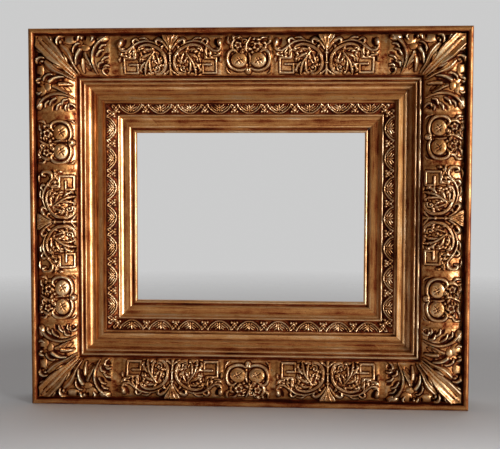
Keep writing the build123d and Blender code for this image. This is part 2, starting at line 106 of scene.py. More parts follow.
def length(name, description, default):
    """Length given in millimetres and kept in metres."""
    return FloatProperty(name=name, description=description, default=default * MM, unit="LENGTH", precision=4)


def colour(name, description, default):
    """Colour given as linear red, green and blue."""
    return FloatVectorProperty(name=name, description=description, default=default, subtype="COLOR",
                               min=0, max=1)


class OrnamentSizes(bpy.types.PropertyGroup):
    crest_inset: length("Crest inset", "From the outer edge to the crest of the round moulding", 31.0)
    crest_height: length("Crest height", "Height of the round moulding's crest above the back", 60.0)
    round_radius: length("Moulding radius", "Radius of the round moulding's section", 48.7)
    outer_inset: length("Outer inset", "From the outer edge to the castings' outer edge", 9.3)
    inner_inset: length("Inner inset", "From the outer edge to the castings' inner edge", 58.1)
    pad: length("Pad", "Thickness of a casting's ground", 0.9)
    glue: length("Glue line", "Gap between a casting and the wood", 0.05)
    corner_length: length("Corner length", "Reach of a corner leaf along each side", 103.95)
    cartouche_length: length("Cartouche length", "Length of a cartouche", 57.4)
    fan_length: length("Fan length", "Length of a fan", 130.4)
    band_outer: length("Band outer inset", "From the outer edge to the leaf band's outer edge", 92.2)
    band_inner: length("Band inner inset", "From the outer edge to the leaf band's inner edge", 103.8)
    band_top: length("Band seat", "Height of the channel's outer edge above the back", 33.1)
    band_fall: length("Band fall", "How far the channel falls over its width", 4.4)
    channel_width: length("Channel width", "Width of the channel that holds the leaf band", 12.4)
    band_pitch: length("Leaf pitch", "Distance between two swags of the leaf band", 39.4)
    band_pad: length("Band pad", "Thickness of the leaf band's ground", 0.5)
    spacing: length("Carving step", "Distance between two points of a carved surface", 0.42)


class FrameFinish(bpy.types.PropertyGroup):
    # Darkest colour: grime in the deepest hollows and specks, and also the painted shade at the bottom of
    # crevices, pits and grooves
    dirt_and_shade: colour("Dirt", "Old dirt in the deepest hollows", (0.022, 0.0016, 0.0005))
    # Red clay where the gold is worn through, and also the red of painted shade in crevices and grooves
    bole_and_shade: colour("Bole", "Red clay ground where the gold is rubbed through", (0.165, 0.021, 0.005))
    gold: colour("Gold", "Toned gold leaf", (0.63, 0.300, 0.088))
    # Pale gold of ridges polished by hands and cloths, and also the colour of painted highlights on crests
    # and beads
    bright: colour("Bright gold", "Gold on ridges that hands and cloths have polished", (0.96, 0.78, 0.48))
    ochre: colour("Ochre", "Painted outer sides", (0.20, 0.105, 0.032))
    timber: colour("Timber", "Bare wood of the back", (0.25, 0.145, 0.07))
    brass: colour("Brass", "Aged brass fittings", (0.52, 0.34, 0.13))
    steel: colour("Steel", "Dull steel nails and plates", (0.33, 0.32, 0.31))


class FrameStudio(bpy.types.PropertyGroup):
    floor: colour("Floor", "Pale floor", (0.76, 0.77, 0.78))
    backdrop: colour("Backdrop", "Pale background", (0.60, 0.60, 0.60))
    room: colour("Room", "Dim light from the front", (0.048, 0.022, 0.014))
    key_strength: FloatProperty(name="Key", description="Soft light from the right", default=4.0, min=0)
    floor_power: FloatProperty(name="Floor lamp", description="Light on the floor in front",
                               default=3.2, unit="POWER")
    lens: FloatProperty(name="Lens", description="Focal length on a 36 mm sensor",
                        default=73.1, unit="CAMERA")
    camera_place: FloatVectorProperty(name="Camera", description="Place of the camera",
                                      default=(0.0846, -1.2833, 0.3051), subtype="TRANSLATION", unit="LENGTH")
    camera_turn: FloatVectorProperty(name="Camera turn", description="Rotation of the camera",
                                     default=[math.radians(turn) for turn in (86.526, -0.097, 3.734)],
                                     subtype="EULER", unit="ROTATION")


class FrameSettings(bpy.types.PropertyGroup):
    sizes: PointerProperty(type=OrnamentSizes)
    finish: PointerProperty(type=FrameFinish)
    studio: PointerProperty(type=FrameStudio)


# Carving

# Ground lower than this is bare, in millimetres
BARE_LEVEL = 2.9


def smooth_line(points, count=36):
    """Smooth line through given points (Catmull-Rom)."""
    knots = np.asarray(points, float)
    first = 2 * knots[0] - knots[1]
    last = 2 * knots[-1] - knots[-2]
    knots = np.vstack([first, knots, last])
    spans = len(knots) - 3
    along = np.linspace(0, spans, count)
    start = np.minimum(along.astype(int), spans - 1)
    t = (along - start)[:, None]
    a, b, c, d = (knots[start + step] for step in range(4))
    return b + 0.5 * t * (c - a + t * (2 * a - 5 * b + 4 * c - d + t * (3 * (b - c) + d - a)))


def by_share(values, share):
    """Value at each share of a stroke, from values set at even steps along it."""
    values = np.atleast_1d(np.asarray(values, float))
    return np.interp(share, np.linspace(0, 1, len(values)), values)


class Carving:
    """Height of carved work over places (s, u), in millimetres."""

    def __init__(self, s, u, ground):
        self.s = s
        self.u = u
        self.height = np.full(s.shape, float(ground))
        # Darkening painted into the tone: painted shade in pits and hollows, which also stands for grime, and
        # below nothing where a painted highlight brightens it
        self.dark = np.zeros(s.shape)
        self.edge = np.ones(s.shape)

    def beside(self, path, reach):
        """Points near a path: where they are, how far off it, how far along it and on which side."""
        low = path.min(0) - reach
        high = path.max(0) + reach
        inside = (self.s > low[0]) & (self.s < high[0]) & (self.u > low[1]) & (self.u < high[1])
        at = np.nonzero(inside)
        spot = np.stack([self.s[at], self.u[at]], -1)
        best = np.full(len(spot), np.inf)
        share = np.zeros(len(spot))
        hand = np.zeros(len(spot))
        steps = len(path) - 1
        for number in range(steps):
            run = path[number + 1] - path[number]
            off = spot - path[number]
            t = np.clip(off @ run / max(run @ run, 1e-9), 0, 1)
            gap = ((off - t[:, None] * run) ** 2).sum(1)
            nearer = gap < best
            best = np.where(nearer, gap, best)
            share = np.where(nearer, (number + t) / steps, share)
            hand = np.where(nearer, np.sign(run[0] * off[:, 1] - run[1] * off[:, 0]), hand)
        return at, np.sqrt(best), share, hand

    def build_up(self, at, height):
        """Raises the places to a height where they are lower; what is covered loses its painted shade and
        highlight.
        """
        covered = height > self.height[at]
        self.dark[at] = np.where(covered, 0, self.dark[at])
        self.height[at] = np.maximum(self.height[at], height)

    def stem(self, points, width, height):
        """Rounded stem; width is half its breadth."""
        at, off, share, _ = self.beside(smooth_line(points), np.max(width))
        x = off / by_share(width, share)
        form = np.clip(1 - x ** 2, 0, 1) ** 0.6
        self.build_up(at, np.where(x < 1, by_share(height, share) * form, 0))

    def blade(self, points, width, height, crest=0.15, ridge=0.14):
        """Leaf blade with rounded flanks and a ridge that lies off the middle by crest."""
        at, off, share, hand = self.beside(smooth_line(points), np.max(width))
        x = hand * off / by_share(width, share)
        flank = np.clip(1 - x ** 2, 0, 1) ** 0.6
        form = (1 - ridge) * flank + ridge * np.exp(-((x - crest) / 0.34) ** 2)
        self.build_up(at, np.where(np.abs(x) < 1, by_share(height, share) * form, 0))

    def leaf(self, points, width, height, cup, flutes):
        """Cupped leaf with raised edges, a rib along its middle and folds beside it."""
        at, off, share, _ = self.beside(smooth_line(points), np.max(width))
        x = off / by_share(width, share)
        rim = np.sqrt(np.clip(1 - np.clip((x - 0.74) / 0.26, 0, 1) ** 2, 0, 1))
        bowl = 1 - cup * np.cos(np.clip(x, 0, 1) * math.pi / 2) ** 2
        folds = 0.07 * np.cos(math.tau * flutes * x)
        rib = 0.30 * cup * np.exp(-(off / 0.7) ** 2)
        form = rim * (bowl + folds + rib)
        self.build_up(at, np.where(x < 1, by_share(height, share) * form, 0))

    def strap(self, points, width, height):
        """Flat band with square corners and rounded edges."""
        at, off, _, _ = self.beside(np.asarray(points, float), width)
        x = off / width
        self.build_up(at, np.where(x < 1, height * np.clip(1 - x ** 4, 0, 1) ** 0.5, 0))

    def oval(self, s, u, rs, ru, turn):
        """Square of how far out each point lies in a turned oval: 1 on its outline."""
        cosine = math.cos(math.radians(turn))
        sine = math.sin(math.radians(turn))
        ds = self.s - s
        du = self.u - u
        return ((ds * cosine + du * sine) / rs) ** 2 + ((du * cosine - ds * sine) / ru) ** 2

    def dome(self, s, u, rs, ru, height, turn=0.0, power=0.5):
        """Oval boss, with a flatter top where power is small."""
        form = np.clip(1 - self.oval(s, u, rs, ru, turn), 0, 1) ** power
        self.build_up(np.nonzero(form), height * form[form > 0])

    def pit(self, s, u, rs, ru, depth, turn=0.0):
        """Deep hollow, darkened with painted shade that also stands for grime."""
        hollow = np.exp(-self.oval(s, u, rs, ru, turn) ** 2)
        self.height = self.height - depth * hollow
        self.dark = np.maximum(self.dark, hollow)

    def rub_and_highlight(self, s, u, rs, ru, turn=0.0):
        """Painted highlight on a place, which also stands for polish by hands."""
        self.dark = self.dark - 0.5 * np.exp(-self.oval(s, u, rs, ru, turn) ** 2)

    def eye(self, s, u, rs, ru, rim, height):
        """Open bud: a deep hollow in a rolled rim that is strongest towards the outer edge."""
        angle = np.linspace(0, math.tau, 13)
        share = 0.45 + 0.55 * np.clip(0.3 - np.sin(angle), 0, 1)
        ring = np.stack([s + rs * np.cos(angle), u + ru * np.sin(angle)], 1)
        self.stem(ring, 1.35 * rim * share, height * (0.5 + 0.5 * share))
        self.pit(s, u, 0.84 * rs, 0.80 * ru, 3.0)

    def cut(self, points, width, depth):
        """Groove with soft sides."""
        at, off, _, _ = self.beside(smooth_line(points), 2.2 * width)
        self.height[at] -= depth * np.exp(-(off / width) ** 2)

    def volute(self, s, u, radius, start, turns, width, height):
        """Spiral ridge winding in to an eye; start is in degrees and turns is signed."""
        t = np.linspace(0, 1, 28)
        angle = math.radians(start) + turns * math.tau * t
        reach = radius * (1 - 0.82 * t)
        path = np.stack([s + reach * np.cos(angle), u + reach * np.sin(angle)], 1)
        at, off, share, _ = self.beside(path, width)
        x = off / (width * (1 - 0.35 * share))
        self.build_up(at, np.where(x < 1, (height + 0.6 * share) * np.sqrt(np.clip(1 - x ** 2, 0, 1)), 0))
        self.dome(s, u, 0.3 * radius, 0.3 * radius, height + 0.8)

    def flower(self, s, u, radius, height, petals, turn):
        """Open flower: cupped petals round a ringed eye."""
        ds = self.s - s
        du = self.u - u
        out = np.hypot(ds, du)
        wave = np.cos(petals * (np.arctan2(du, ds) - math.radians(turn)))
        x = out / (radius * (0.86 + 0.14 * wave))
        form = np.sqrt(np.clip(1 - x ** 6, 0, 1)) * (0.70 + 0.22 * x) + 0.10 * wave * np.clip(1.4 * x, 0, 1)
        self.height = np.maximum(self.height, np.where(x < 1, height * form, 0))
        ring = np.exp(-((out - 0.34 * radius) / (0.12 * radius)) ** 2)
        self.height -= 0.26 * height * ring * (out < radius)
        # Painted highlight over the petals and painted shade in the eye
        self.rub_and_highlight(s, u, 0.9 * radius, 0.9 * radius)
        self.pit(s, u, 0.22 * radius, 0.22 * radius, 0.8)

    def free(self, s, u, level):
        """Whether the ground at a place is still lower than a level."""
        off = (self.s[::4, ::4] - s) ** 2 + (self.u[::4, ::4] - u) ** 2
        return self.height[::4, ::4].ravel()[off.argmin()] < level

    def sprinkle(self, seed, low, high, step, centre):
        """Small curled leaves where the ground is still bare, turning about a centre; the same each time."""
        draw = np.random.default_rng(seed)
        for s in np.arange(low[0], high[0], step):
            for u in np.arange(low[1], high[1], step):
                foot = np.array((s, u)) + draw.uniform(-0.3, 0.3, 2) * step
                size = draw.uniform(0.8, 1.2)
                bend = draw.uniform(-1.1, 1.1)
                heading = math.atan2(foot[1] - centre[1], foot[0] - centre[0]) + draw.uniform(0.6, 2.4)
                if not self.free(*foot, BARE_LEVEL):
                    continue
                points = [foot]
                for ahead in (heading, heading + bend):
                    points.append(points[-1] + 2.4 * size * np.array((math.cos(ahead), math.sin(ahead))))
                self.blade(points, (1.1 * size, 2.3 * size, 1.3), (2.8, 4.3 * size, 3.2))


# Motifs, drawn as s along a side and u in from the outer edge, in millimetres

def mirrored(side, *points, middle=0):
    """The same points, on one side of a motif's middle."""
    return [(middle + side * s, u) for s, u in points]


def carve_corner(work):
    """Acanthus on the mitre, one half of it: s is measured along the run from the corner."""
    # Low leaf surfaces behind the ridges
    for s, u, rs, ru, height in ((52, 14, 10, 6, 3.0), (76, 15, 8, 8, 3.0),
                                 (93, 12.6, 8, 5, 4.8), (72, 24, 6, 5, 2.6)):
        work.dome(s, u, rs, ru, height)
    # Broad cupped leaf on the mitre, with one soft cut along it
    work.leaf([(61, 61), (46, 46), (30, 30), (13, 13)], (2.6, 5.4, 10.0, 10.5), (3.8, 5.6, 7.0, 6.6),
              cup=0.50, flutes=1.0)
    work.cut([(58, 55), (43, 40), (30, 26), (18, 14.6)], 0.9, 0.9)
    # Second leaf: a sharp ridge that spreads into a broad tip, over a hollow with a small leaf in it
    # Pits here and below sink the hollows and darken them with painted shade
    work.pit(48.2, 38, 8.0, 3.0, 1.2, 65)
    work.blade([(49.4, 43), (46.6, 37), (44, 31.4)], (0.8, 2.6, 0.9), (2.6, 3.8, 3.6))
    work.blade([(63, 55), (58.6, 48), (55.6, 42), (53.6, 37), (51, 32), (46.6, 26.4), (41.4, 21.4)],
               (1.7, 2.3, 2.5, 2.9, 3.9, 5.0, 3.4), (4.0, 5.6, 6.4, 6.6, 6.4, 5.8, 4.6), ridge=0.5)
    # Curled leaf beside it
    work.pit(63.2, 38, 6.0, 2.2, 1.0, 86)
    work.stem([(59.6, 44), (59.8, 38), (61, 33), (63.4, 28.8), (65, 26.6)],
              (1.2, 1.7, 2.0, 2.5, 2.8), (4.2, 5.4, 5.8, 6.0, 6.0))
    work.blade([(69, 53), (68.4, 45), (68.6, 38.4)], (1.7, 2.9, 2.5), (3.6, 5.0, 4.8))
    work.stem([(64, 18.6), (60.6, 19.6), (57.8, 22.8), (56.4, 27), (56.8, 30)],
              (1.0, 1.4, 1.5, 1.4, 0.9), (3.8, 4.8, 5.0, 4.8, 3.8))
    work.pit(60.6, 24.4, 2.6, 2.4, 1.0)
    # Tall leaf that turns away from the corner, and its fork
    work.pit(74.4, 47.6, 5.6, 2.2, 1.2, 53)
    work.pit(67.2, 32.6, 4.6, 2.0, 1.0, 96)
    work.blade([(79.8, 48), (76.6, 41.4), (73.6, 36.4), (71.4, 31)],
               (1.6, 2.1, 2.6, 2.6), (5.2, 6.0, 6.0, 5.4), ridge=0.5)
    work.blade([(86, 56), (83, 49.6), (80.8, 42.6), (80.4, 35.4), (81.6, 28.4), (84.6, 21.4), (89.4, 15.6),
                (96.4, 10.4)],
               (1.5, 2.2, 2.6, 2.7, 2.6, 2.8, 3.6, 4.4), (3.8, 5.8, 7.0, 7.2, 7.0, 6.6, 6.2, 5.6), ridge=0.5)
    # Curled sprigs at the end of the arm, with hollows between them
    for s, u, turn in ((89.6, 33, -40), (96, 42.4, -20), (91.6, 47.4, -36), (97.4, 53, -40),
                       (88, 25, -50), (98, 32, -20)):
        work.pit(s, u, 3.6, 1.9, 1.0, turn)
    for points in (((94.6, 26.6), (89.6, 28.6), (86, 34)), ((100.6, 35), (95.6, 36.6), (92.4, 40)),
                   ((93.6, 41.6), (88.8, 43.6), (87.4, 48)), ((101, 46.4), (97.4, 45.8), (94.6, 47.4)),
                   ((97.4, 49), (93.4, 50.4), (94, 55), (98.6, 58.6)),
                   ((97, 20.4), (92.6, 21.4), (89.4, 25))):
        work.stem(points, (1.1, 1.7, 1.3), (3.4, 4.4, 3.8))
    # Curled tips along the outer edge
    work.stem([(36, 19.4), (35.4, 14.6), (37.6, 10.2), (41.6, 9.2)],
              (1.3, 2.0, 2.5, 2.2), (3.8, 5.2, 5.8, 5.2))
    work.dome(40.4, 17, 1.6, 2.6, 5.2)
    work.stem([(29.6, 17.6), (28.4, 13), (25.6, 9)], (0.9, 1.5, 1.4), (3.6, 4.8, 4.4))
    work.stem([(64.4, 9), (62.6, 11), (61.4, 14.6)], (2.0, 2.3, 1.3), (5.4, 5.4, 4.6))
    work.dome(66.8, 11.4, 1.8, 2.8, 5.0)
    work.stem([(79, 9), (80.4, 12), (78.6, 16)], (1.8, 2.0, 1.2), (4.8, 5.0, 4.2))
    for s, u, rs, ru in ((32.4, 14, 5.0, 1.8), (44.6, 13, 3.4, 1.6),
                         (71, 12, 3.6, 1.6), (57.2, 12, 3.4, 1.5)):
        work.pit(s, u, rs, ru, 1.0, 80)
    # Painted highlights on ridges and tips, which also stand for polish by a cloth
    for s, u, rs, ru, turn in ((36, 36, 28, 7, 45), (49, 31, 13, 4, 57), (75.4, 40, 9, 3, 62),
                               (82, 40, 14, 3.4, 80), (90, 15, 9, 4, -40), (62, 32, 8, 3, -70),
                               (40, 11, 4, 4, 0), (63, 11, 4, 4, 0), (80, 12, 3, 4, 0)):
        work.rub_and_highlight(s, u, rs, ru, turn)


def carve_fan(work, buds):
    """Lily and baluster between two C scrolls, with strapwork; the ends carry buds or curls."""
    # Lily of three cupped leaves, with a painted highlight over it that also stands for polish
    for tip in (-7.0, 7.0, 0.0):
        work.leaf([(0.1 * tip, 25), (0.36 * tip, 18.6), (0.8 * tip, 12.6), (tip, 9.6)],
                  (1.4, 2.3, 3.4, 3.2), (4.6, 5.6, 6.6, 6.4), cup=0.34, flutes=0.5)
    for turn in (0, 90):
        work.rub_and_highlight(0, 13, 10, 8, turn)
    # Baluster below the lily, with two knops
    work.stem([(0, 22), (0, 29), (0, 39), (0, 46), (0, 57.5)],
              (1.8, 1.3, 1.3, 1.3, 2.6), (5.0, 3.6, 3.4, 3.6, 2.6))
    work.dome(0, 31.4, 3.0, 1.8, 5.4)
    work.dome(0, 43.4, 3.0, 1.7, 5.4)
    for side in (-1, 1):
        work.stem(mirrored(side, (0.6, 51.4), (4.4, 54.4), (8, 57.4)), (0.9, 1.5, 0.8), (3.0, 3.3, 2.3))
        # Curled petals beside the lily
        work.blade(mirrored(side, (2.4, 26.6), (6, 21), (10.4, 16.4), (14.8, 14), (17.8, 16), (17, 19.6)),
                   (1.3, 2.2, 2.8, 2.9, 2.5, 1.3), (3.9, 4.8, 5.4, 5.4, 5.0, 3.9), crest=0.3 * side)
        # Leaf mass inside the scroll, then the scroll with its volute
        work.dome(side * 23, 36, 15, 13, 2.6, power=0.22)
        work.volute(side * 16.2, 49.6, 4.6, 0 if side > 0 else 180, side * 1.2, 1.3, 4.2)
        scroll = mirrored(side, (20.8, 50), (18.4, 55), (11.4, 55.2), (6.2, 48.6), (5.4, 39), (10, 29.6),
                          (19, 23.4), (29, 21), (37.6, 23.6), (40.6, 29))
        work.blade(scroll, (1.1, 1.7, 2.2, 2.5, 2.6, 2.4, 2.2, 2.0, 1.7, 1.0),
                   (3.6, 4.4, 5.0, 5.4, 5.6, 5.4, 5.0, 4.8, 4.4, 3.4), crest=0.2 * side)
        work.cut(scroll[1:-1], 0.42, 1.5)
        work.stem(mirrored(side, (14, 21.6), (22, 17.6), (31, 16.2), (40, 18.4), (47.6, 24), (54, 28.6)),
                  (0.8, 1.1, 1.3, 1.4, 1.6, 1.8), (3.0, 3.6, 3.8, 4.0, 4.3, 4.3))
        # Acanthus branching from the scroll, with a vein cut in the leaf mass
        for points, width, height in (
                (((19, 29), (24, 36), (29.6, 45), (31.6, 55.6)), (1.6, 3.0, 3.0, 1.4), (4.2, 5.0, 5.0, 3.4)),
                (((24.6, 38), (25.4, 47), (23.4, 56)), (1.2, 2.7, 1.4), (3.8, 4.8, 3.4)),
                (((28, 41), (34.4, 46), (37.4, 53)), (1.2, 2.9, 1.4), (3.8, 4.8, 3.4)),
                (((22, 32), (30, 34.6), (36.4, 39)), (1.4, 3.2, 1.5), (4.0, 4.8, 3.4)),
                (((21, 27.4), (29, 26.8), (35, 30)), (1.1, 2.6, 1.3), (3.6, 4.4, 3.2)),
                (((17, 32), (14.4, 38), (12.4, 44.6)), (1.1, 2.4, 1.1), (3.4, 4.4, 3.2)),
                (((19.6, 36), (19.4, 40), (16, 44)), (1.1, 2.0, 1.0), (3.4, 4.2, 3.2))):
            work.blade(mirrored(side, *points), width, height)
        work.cut(mirrored(side, (18, 27), (24, 33.4), (30, 42), (32.6, 52)), 0.5, 1.6)
        # Leaf tips on the back of the scroll
        for points, width, height in (
                (((45.6, 24.6), (44.6, 29), (45.6, 33.6)), (1.2, 2.4, 1.2), (3.4, 4.6, 3.6)),
                (((48, 26.4), (50.4, 30.4), (49.6, 35)), (1.1, 2.1, 1.1), (3.1, 4.1, 3.1)),
                (((27, 15.4), (32.6, 12.4), (38.4, 12.8)), (1.0, 2.0, 1.2), (2.8, 3.8, 3.1)),
                (((38, 17.2), (43, 13.6), (46.2, 16.4), (45.2, 20)),
                 (1.2, 2.2, 2.2, 1.2), (3.1, 4.1, 4.3, 3.3))):
            work.blade(mirrored(side, *points), width, height)
        # Strapwork: one flat band bent into a square key
        work.strap(mirrored(side, (43, 31), (43.6, 37.4), (57, 37.4), (57, 55), (40.4, 55), (40.4, 45),
                            (50.6, 45)), 1.4, 2.4)
        # Ends of the outer scroll
        if buds:
            work.dome(side * 61.6, 18.6, 3.7, 5.6, 6.6, side * -14)
            # Painted highlight on the bud
            work.rub_and_highlight(side * 61.6, 18.6, 4, 6)
            work.blade(mirrored(side, (54, 28.6), (59.6, 28), (63, 23.4), (62.4, 17)),
                       (2.0, 2.6, 2.3, 1.3), (4.3, 4.6, 4.9, 5.4))
            work.blade(mirrored(side, (64, 29), (60.4, 33), (55, 35)), (1.2, 2.6, 1.2), (3.0, 4.1, 3.0))
            work.pit(side * 56.6, 18, 2.2, 4.8, 0.8, side * -14)
        else:
            work.stem(mirrored(side, (54, 28.6), (59.6, 27.6), (63, 22.4), (62, 16.8), (58.6, 15.8),
                               (57.4, 19)),
                      (2.0, 2.7, 2.8, 2.7, 2.4, 1.4), (4.3, 4.8, 5.1, 5.1, 4.8, 3.9))
            work.blade(mirrored(side, (64, 32), (58.6, 32.4), (53, 34.6)), (1.2, 2.6, 1.2), (2.8, 3.9, 2.8))
            work.blade(mirrored(side, (50, 11), (55, 10.6), (60, 12.4)), (0.9, 1.9, 1.0), (2.6, 3.4, 2.8))
        # Deep places between the leaves, darkened with painted shade
        for s, u, rs, ru, turn in (
                (3.0, 38, 1.6, 6.4, 0), (13, 35, 1.6, 2.6, 0), (27.4, 51.6, 1.3, 4.4, 0),
                (34, 51.6, 1.2, 3.4, 0), (20.6, 53, 1.2, 3.0, 0), (10.6, 20.6, 3.0, 1.2, 45),
                (27, 30.4, 3.2, 1.0, 8), (33, 42, 1.0, 3.0, -40)):
            work.pit(side * s, u, rs, ru, 0.7, side * turn)
    fill_fan(work)


def fill_fan(work):
    """Small leaves on the bare ground, alike on both sides of the fan's middle."""
    half = Carving(np.abs(work.s), work.u, 0)
    half.height = work.height
    half.sprinkle(11, (11, 26), (40, 58), 4.4, (25, 40))
    half.sprinkle(17, (43, 26), (65, 40), 4.8, (50, 46))
    work.height = half.height


def carve_cartouche(work):
    """Two flat shields in a scrolled frame, with flowers above them."""
    for side in (-1, 1):
        s = side * 11.8
        work.dome(s, 40, 9.8, 9.0, 4.2, turn=side * 8, power=0.16)
        # Painted highlight over the shield
        work.rub_and_highlight(s, 40, 9, 8)
        # Roll round the shield
        work.stem(mirrored(side, (14.4, 30.4), (18, 27.8), (22.6, 29), (25.6, 34), (26, 41), (22.6, 48),
                           (15.4, 51.6), (7.6, 51.8), (2.2, 49.4)),
                  (1.3, 2.0, 2.2, 2.2, 2.2, 2.2, 2.0, 1.8, 1.2),
                  (3.6, 4.3, 4.4, 4.3, 4.1, 4.1, 3.9, 3.8, 3.4))
        # Incised bud on each shield
        work.cut([(s - 4.2, 43.4), (s - 0.4, 40.4), (s + 4.2, 38.8)], 0.55, 0.9)
        work.cut([(s - 2.6, 38), (s - 0.4, 40.4), (s + 1.4, 44.4)], 0.5, 0.8)
        work.cut([(s + 0.6, 37), (s + 2.6, 40), (s + 5, 43)], 0.5, 0.8)
        work.blade(mirrored(side, (22, 21), (26, 17), (25.6, 11.4)), (1.2, 2.6, 1.3), (3.0, 3.9, 3.1))
        work.blade(mirrored(side, (23.4, 56), (26.6, 53), (27.8, 48.6)), (0.9, 1.5, 0.9), (2.3, 3.0, 2.1))
        work.pit(s + side * 10.6, 36, 1.4, 3.6, 0.8, side * -12)
    work.cut([(-0.6, 33), (-1.0, 40), (-0.6, 48)], 0.9, 3.0)
    # Heart-shaped drop below, and a leaf between the shields
    work.dome(-0.6, 52.6, 3.9, 4.3, 4.8, power=0.35)
    work.cut([(-0.6, 48.6), (-0.6, 52.6)], 0.5, 1.6)
    work.blade([(1.4, 44), (1.8, 38), (0.4, 32)], (1.0, 1.8, 1.2), (3.3, 4.3, 3.8))
    # Leaves behind the flowers, then the flowers
    for points, width, height in (
            (((-2.2, 30), (-3.4, 24), (-1.4, 17.6), (2, 12)), (1.2, 1.9, 2.2, 1.3), (3.4, 4.1, 4.3, 3.4)),
            (((-17, 30), (-20.4, 25), (-20.6, 19.4), (-17.4, 14.6)),
             (1.3, 2.9, 2.8, 1.3), (3.1, 4.1, 4.1, 3.3)),
            (((17, 29), (20.4, 24.6), (20.6, 18.6)), (1.3, 2.8, 1.3), (3.1, 4.1, 3.1)),
            (((12, 16.6), (16, 12.6), (21, 12)), (1.0, 2.4, 1.2), (2.8, 3.8, 2.8)),
            (((-8.4, 13), (-12.6, 11), (-17.4, 11.6)), (1.0, 2.0, 1.0), (2.6, 3.4, 2.6))):
        work.blade(points, width, height)
    work.eye(-5.2, 17.4, 2.6, 2.4, 1.2, 5.4)
    work.dome(-8.4, 30.4, 3.0, 2.6, 5.4)
    work.pit(-8.4, 30.4, 0.9, 0.9, 1.0)
    work.dome(4.6, 30.6, 1.9, 1.9, 4.8)
    work.flower(10.6, 23.4, 6.0, 7.2, 5, 10)
    work.flower(-13, 22, 5.2, 6.6, 5, 30)
    work.sprinkle(5, (-20, 14), (20, 30), 4.6, (0, 40))


def carve_band(work, pitch, count):
    """Row of double swags with a leaf spray in each and buds between; u runs from the outer edge."""
    for number in range(count + 1):
        # Cluster of buds where two swags meet
        gap = (number - count / 2) * pitch
        for s, u, rs, ru, height in ((0, 8.4, 2.2, 2.3, 3.4), (0, 4.2, 1.5, 1.9, 2.6),
                                     (-3.4, 9.4, 1.6, 1.7, 2.9), (3.4, 9.4, 1.6, 1.7, 2.9),
                                     (-1.9, 6.3, 1.2, 1.2, 2.5), (1.9, 6.3, 1.2, 1.2, 2.5)):
            work.dome(gap + s, u, rs, ru, height)
        for side in (-1, 1):
            work.stem(mirrored(side, (1.4, 2.4), (3.0, 0.9), (4.4, 2.2), (3.6, 4.6), middle=gap),
                      (0.7, 0.9, 0.9, 0.6), (2.0, 2.5, 2.5, 2.0))
        if number == count:
            break
        # Double swag with its spray
        middle = gap + pitch / 2
        for side in (-1, 1):
            work.stem(mirrored(side, (14.8, 0.3), (12.8, 4.2), (8.4, 8.2), (3.8, 10.7), (0, 11.2),
                               middle=middle),
                      0.95, (2.6, 3.1, 3.2, 3.1, 3.0))
            work.stem(mirrored(side, (11.6, 0.6), (9.8, 3.6), (6.2, 6.6), (3.2, 8.6), middle=middle),
                      (0.7, 0.85, 0.85, 0.6), (2.1, 2.7, 2.7, 2.2))
            work.blade(mirrored(side, (0.8, 8), (3.2, 5.4), (7.0, 3.2), middle=middle),
                       (0.7, 1.4, 0.7), (2.1, 2.9, 1.9))
            work.blade(mirrored(side, (0.6, 5.8), (2.4, 3.2), (5.2, 0.9), middle=middle),
                       (0.7, 1.3, 0.7), (2.1, 2.9, 1.9))
            work.dome(middle + side * 3.2, 8.2, 1.3, 1.2, 2.8)
            work.pit(middle + side * 10.4, 1.4, 1.2, 1.2, 0.3)
        work.blade([(middle, 9), (middle + 0.3, 4.6), (middle - 0.4, 0.9)], (0.9, 1.5, 0.8), (2.6, 3.0, 2.0))
    # Painted shade on the low ground between the swags and buds
    work.dark += 0.5 * np.clip(1.6 - work.height, 0, 1)


# Carved pieces

# Tone of flat ground, where 0 is the painted shade at the bottom of a crevice and 1 the painted highlight of
# a crest, which also stands for polish
GROUND_TONE = 0.37
# How far round a point its tone looks, for crevices and for broad forms, in millimetres
CLOSE_REACH = 0.8
BROAD_REACH = 3.2
# Width over which a casting's ground thins out to its edge, and how thin it gets, in millimetres
FEATHER = 4.0
THIN_EDGE = 0.12
# How much higher carving stands at RISE_REACH millimetres from the moulding's crest
RISE_REACH = 25.0
RISE_OUTER = 0.62
RISE_INNER = 0.26
RISE_CORNER = 0.34
# Gap at each end of a leaf band, in millimetres
MITRE_GAP = 0.1
SMOOTH_ANGLE = math.radians(62)


def blurred(field, steps):
    """Field averaged over a square of points, twice, for a soft edge."""
    count = 2 * steps + 1
    for axis in (0, 1, 0, 1):
        padded = np.pad(field, [(steps, steps) if side == axis else (0, 0) for side in (0, 1)], mode="edge")
        total = np.cumsum(np.insert(padded, 0, 0, axis=axis), axis=axis)
        high = np.take(total, range(count, total.shape[axis]), axis=axis)
        low = np.take(total, range(total.shape[axis] - count), axis=axis)
        field = (high - low) / count
    return field


def worked(s, u):
    """Small unevenness that a hand-finished mould leaves, in millimetres."""
    wander = np.sin(0.83 * s + 1.7 * np.sin(0.41 * u)) * np.sin(0.97 * u + 1.3 * np.sin(0.53 * s))
    fine = np.sin(2.3 * s + 1.1 * u) * np.sin(1.9 * u - 0.7 * s)
    return 0.10 * wander + 0.04 * fine


def finish_carving(work, step):
    """Heights softened by a coat of gesso, and their tone: painted shade with grime, down to 0 in crevices,
    and painted highlight, up to 1 on crests.
    """
    height = 0.6 * work.height + 0.4 * blurred(work.height, 1) + worked(work.s, work.u)
    close = height - blurred(height, max(1, round(CLOSE_REACH / step)))
    broad = height - blurred(height, max(1, round(BROAD_REACH / step)))
    # Painted light in aged: shade in crevices and pits, which also stands for grime, and highlights on crests
    # and polished places
    crevice = np.clip((-close - 0.04) / 0.32, 0, 1)
    crest = np.clip(broad / 2.2, -0.3, 1) + 0.4 * np.clip(close / 0.5, 0, 1)
    aged = 0.20 * crest - 0.84 * crevice - 0.52 * work.dark
    return np.maximum(height, 0.1), np.clip(GROUND_TONE + (0.09 + aged) * work.edge, 0, 1)


